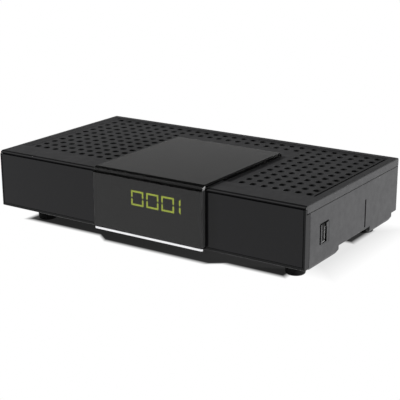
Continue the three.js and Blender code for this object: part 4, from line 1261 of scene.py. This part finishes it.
@dataclass
class Screws:
    """All the slotted screws, set out in rows of one length."""

    head: float = 2.8
    head_height: float = 1.9
    shank: float = 1.5
    slot: float = 1.1
    corners: tuple[str, ...] = ("front_left", "front_right", "rear_left", "rear_right")
    sides: tuple[str, ...] = ("left", "right")

    def seat(self, node: str, axis: Axis, end: int) -> list[float]:
        """Find the seat of a screw: one head height inside the head's end of its solid.

        Args:
            node: The solid.
            axis: Its axis.
            end: The head's end along it, 0 for the low one and 1 for the high one.

        Returns:
            The seat.
        """
        box = reach(node)
        place = [sum(span) / 2 for span in box]
        place[axis.value] = inset(box[axis.value], self.head_height)[end]
        return place

    def build(self) -> None:
        """Set out every row."""
        tree = screw_tree()
        for name, nodes, axis, end, length, turn in (
            ("feet", [f"foot_screw_{corner}" for corner in self.corners], Axis.Z, 0, 14.6, 0.0),
            ("board", [f"board_screw_{corner}" for corner in self.corners], Axis.Z, 1, 5.7, math.pi),
            ("display", [f"display_screw_{side}" for side in self.sides], Axis.Y, 1, 4.2, math.pi / 2),
            ("cover", [f"cover_screw_{side}" for side in self.sides], Axis.Z, 0, 9.0, 0.0),
        ):
            seats = mesh_piece(f"screws_in_{name}", [self.seat(node, axis, end) for node in nodes], [])
            row = tree.run(seats, Paint.STEEL, {
                "Head Radius": self.head, "Head Height": self.head_height, "Shank Radius": self.shank,
                "Length": length, "Slot Width": self.slot}, Turn=(turn, 0.0, 0.0))
            settle(row, Paint.STEEL, nodes)


@dataclass
class MainBoard:
    """The main board with its chip, heat sink, capacitors, coil and small parts."""

    top: float = 24.2
    small: Point = (2.6, 1.4, 0.6)
    pitch: Flat = (6.0, 5.0)
    fields: tuple[tuple[Flat, int, int], ...] = (((-90.0, -45.0), 10, 9), ((66.0, 8.0), 5, 6))
    neck: tuple[Flat, ...] = ((0.3, 0.0), (0.0, 0.3), (0.0, 1.5), (0.5, 2.0), (0.0, 2.5))
    crown: tuple[Flat, ...] = ((0.0, 0.6), (0.25, 0.15), (0.6, 0.0), (1.0, 0.15))

    def capacitor(self, side: str) -> Piece:
        """Turn a capacitor with its crimped neck and rounded top.

        Args:
            side: Which of the three.

        Returns:
            The piece.
        """
        x, y, (base, top) = reach(f"capacitor_{side}")
        radius = (x[1] - x[0]) / 2
        profile = [(radius - by, base + up) for by, up in self.neck]
        profile += [(radius - by, top - down) for by, down in self.crown]
        return lathe(f"capacitor_can_{side}", profile, Axis.Z, (sum(x) / 2, sum(y) / 2), 32)

    def build(self) -> None:
        """Make the board and all that stands on it."""
        carry("board", "main_board", 0.08, Paint.BOARD)
        carry("chip", "main_chip", 0.15, Paint.BLACK)
        carry("fins", "heat_sink", 0.12, Paint.ALLOY)
        for side in ("left", "middle", "right"):
            settle(self.capacitor(side), Paint.ALLOY, [f"capacitor_{side}"])
        carry("coil", "power_inductor", 0.3, Paint.GREY, 50)
        seats = [(x + self.pitch[0] * column, y + self.pitch[1] * row, self.top + self.small[2] / 2)
                 for (x, y), columns, rows in self.fields for column in range(columns) for row in range(rows)]
        parts = row_tree().run(mesh_piece("small_parts", seats, []), Paint.BLACK,
                               {"Size": Vector(self.small)}, Least=0.6, Quarter_Turns=1, Seed=7)
        settle(parts, Paint.BLACK)


# Studio


@dataclass
class Studio:
    """Floor, soft lights, world and the camera at the photograph's place."""

    eye: Point = (410.29, -608.3, 245.3)
    azimuth: float = 33.90
    elevation: float = 17.11
    roll: float = -0.2535
    lens: float = 95.71
    # Painted shadow: inside these areas the eye sees the lamp-lit floor, outside them plain white, so they
    # draw the shadow's outline.
    shade: Area = ((-116.0, 103.0), (-55.5, 58.0))
    shade_middle: Area = ((-37.0, 48.0), (-62.5, -50.0))
    slant: float = 1.4
    shade_rear: Area = ((60.0, 110.5), (27.0, 58.0))
    # Painted light: the floor under the gap between the side rails is white.
    light_gap: Area = ((80.0, 140.0), (-20.0, 25.0))
    soft: float = 5.0
    # Painted shade: a faint glow that sets how dark the shadow looks.
    shade_level: float = 0.018
    # Painted shade: the white floor dims to this level near the shadow and grows white over this width.
    painted_halo: float = 22.0
    painted_halo_level: float = 0.78
    painted_halo_area: Area = ((-100.0, 113.0), (-25.0, 58.0))
    dome: tuple[Flat, ...] = ((0.0, 0.6), (0.15, 0.25), (0.4, 0.1), (1.0, 0.1))
    mirrored: tuple[Flat, ...] = ((0.0, 0.55), (0.12, 0.38), (0.28, 0.24), (0.36, 0.12), (0.5, 0.06))
    soft_box: Point = (-0.533, -0.398, 0.746)
    box_edge: Span = (0.922, 0.965)
    box_level: float = 0.55
    ahead_level: float = 0.2
    # Floor grey for light that bounces, and a darker painted shade grey that the eye and reflections see.
    floor_and_painted_shade_greys: Flat = (0.35, 0.04)
    lamps: tuple[tuple[str, Point, float, float], ...] = (
        ("left", (-1.5, -0.75, 1.15), 0.35, 50.0), ("right", (1.4, 0.5, 0.15), 0.24, 43.0),
    )

    def camera(self) -> None:
        """Place the camera."""
        az, el, roll = (math.radians(a) for a in (self.azimuth, self.elevation, self.roll))
        ahead = Vector((-math.sin(az) * math.cos(el), math.cos(az) * math.cos(el), -math.sin(el)))
        across = Vector((math.cos(az), math.sin(az), 0))
        over = across.cross(ahead)
        right = math.cos(roll) * across + math.sin(roll) * over
        up = math.cos(roll) * over - math.sin(roll) * across
        data = bpy.data.cameras.new("camera")
        data.lens, data.sensor_width, data.clip_start = self.lens, 36, 0.01
        camera = link("camera", data)
        camera.matrix_world = Matrix.Translation(Vector(self.eye) * MM) @ Matrix(
            (right, up, -ahead)).transposed().to_4x4()
        bpy.context.scene.camera = camera

    def floor(self) -> None:
        """Lay the floor: white to the eye, with the shadow under the receiver partly real and partly painted.
        """
        mesh = bpy.data.meshes.new("floor")
        mesh.from_pydata([(x, y, -0.0002) for x, y in arc((0, 0), 4, 0, 360, 64)[:-1]], [], [range(64)])
        floor = link("floor", mesh)
        graph = Graph("floor_paper")
        seen = graph.seen("Camera", "Glossy", "Transmission")
        lit, dark = ((grey,) * 3 for grey in self.floor_and_painted_shade_greys)
        # Painted shade: the eye sees a darker floor with a faint even glow, which fixes the shadow's tone.
        graph.set(Base_Color=graph.blend(seen, lit, dark), Roughness=0.9, Specular_IOR_Level=0.0,
                  Emission_Color=(1, 1, 1), Emission_Strength=graph.math("MULTIPLY", seen, self.shade_level))
        place = graph.split(graph.object)

        def away(area: Area, slant: float = 0.0) -> Socket:
            """Give the distance outside an area of the floor, less than nothing inside it.

            Args:
                area: Its reach across and along the floor.
                slant: How much its sides lean outwards to the rear.

            Returns:
                The distance in metres.
            """
            off = [graph.math("SUBTRACT", graph.math("ABSOLUTE", graph.math(
                "SUBTRACT", output, (low + high) / 2 * MM)), (high - low) / 2 * MM)
                for output, (low, high) in zip(place, area)]
            lean = graph.math("MULTIPLY", graph.math("SUBTRACT", place[1], area[1][0] * MM), slant)
            return graph.math("MAXIMUM", graph.math("SUBTRACT", off[0], lean), off[1])

        # Painted shadow outline, with painted light under the side gap.
        off = graph.math("MINIMUM", away(self.shade), away(self.shade_middle, self.slant))
        off = graph.math("MINIMUM", off, away(self.shade_rear))
        off = graph.math("MAXIMUM", off, graph.math("MULTIPLY", away(self.light_gap), -1.0))
        beyond = graph.remap(off, 0, 1, -self.soft / 2 * MM, self.soft / 2 * MM)
        # Painted shade: a soft grey halo round the shadow.
        white = graph.out("Emission", {"Strength": graph.remap(away(self.painted_halo_area), self.painted_halo_level, 1, 0,
                                                               self.painted_halo * MM)})
        mix = graph.out("MixShader", {0: graph.math("MULTIPLY", seen, beyond), 1: graph.shader.outputs[0],
                                      2: white})
        graph.feed(graph.found("OUTPUT_MATERIAL").inputs[0], mix)
        mesh.materials.append(graph.material)

    def lamp(self, name: str, place: Point, size: float, power: float) -> None:
        """Hang a square soft lamp that faces the receiver and does not show in gloss.

        Args:
            name: Name of the lamp.
            place: Where it hangs, in metres.
            size: Width in metres.
            power: Power in watts.
        """
        data = bpy.data.lights.new(name, "AREA")
        data.size, data.energy = size, power
        lamp = link(name, data)
        lamp.visible_glossy = False
        lamp.location = place
        lamp.rotation_euler = (Vector(place) - Vector((0, 0, 0.03))).to_track_quat("Z", "Y").to_euler()

    def world(self) -> None:
        """Set the soft surroundings: white to the eye, greyer above the horizon."""
        world = bpy.data.worlds.new("soft_room")
        world.use_nodes = True
        bpy.context.scene.world = world
        nodes = Nodes(world.node_tree)
        place = nodes.add("TexCoord").outputs["Generated"]
        _, along, height = nodes.split(place)
        levels = []
        for stops in (self.dome, self.mirrored):
            ramp = nodes.add("ValToRGB", {0: height})
            while len(ramp.color_ramp.elements) < len(stops):
                ramp.color_ramp.elements.new(0.5)
            for element, (position, level) in zip(ramp.color_ramp.elements, stops):
                element.position = position
                element.color = (level, level, level, 1)
            levels.append(ramp.outputs[0])
        toward = nodes.add("VectorMath", {0: place, 1: self.soft_box}, operation="DOT_PRODUCT")
        dimmed = nodes.blend(1.0, levels[1], nodes.remap(along, self.ahead_level, 1, -0.3, 0.1), "MULTIPLY")
        boxed = nodes.blend(nodes.remap(toward.outputs["Value"], 0, 1, *self.box_edge), dimmed,
                            (self.box_level,) * 3)
        back = nodes.found("BACKGROUND")
        nodes.feed(back.inputs[0], nodes.blend(nodes.seen("Glossy"), levels[0], boxed))
        white = nodes.out("Background", {0: (1, 1, 1)})
        mix = nodes.out("MixShader", {0: nodes.seen("Camera", "Transmission"), 1: back.outputs[0], 2: white})
        nodes.feed(nodes.found("OUTPUT_WORLD").inputs[0], mix)

    def build(self) -> None:
        """Set up the whole studio."""
        bpy.context.scene.view_settings.view_transform = "Standard"
        self.camera()
        self.floor()
        self.world()
        for lamp in self.lamps:
            self.lamp(*lamp)


def main() -> None:
    """Build and dress the receiver, sub-assembly by sub-assembly."""
    logging.basicConfig(level=logging.INFO, format="%(name)s: %(message)s")
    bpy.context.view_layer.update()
    for part in (Studio(), TopCover(), BaseShell(), FrontFrame(), CentreCover(), BrightStrip(), Display(),
                 SideSocket(), RearSockets(), MovingParts(), Feet(), Screws(), MainBoard()):
        log.info("building %s", type(part).__name__)
        part.build()


if __name__ == "__main__":
    main()
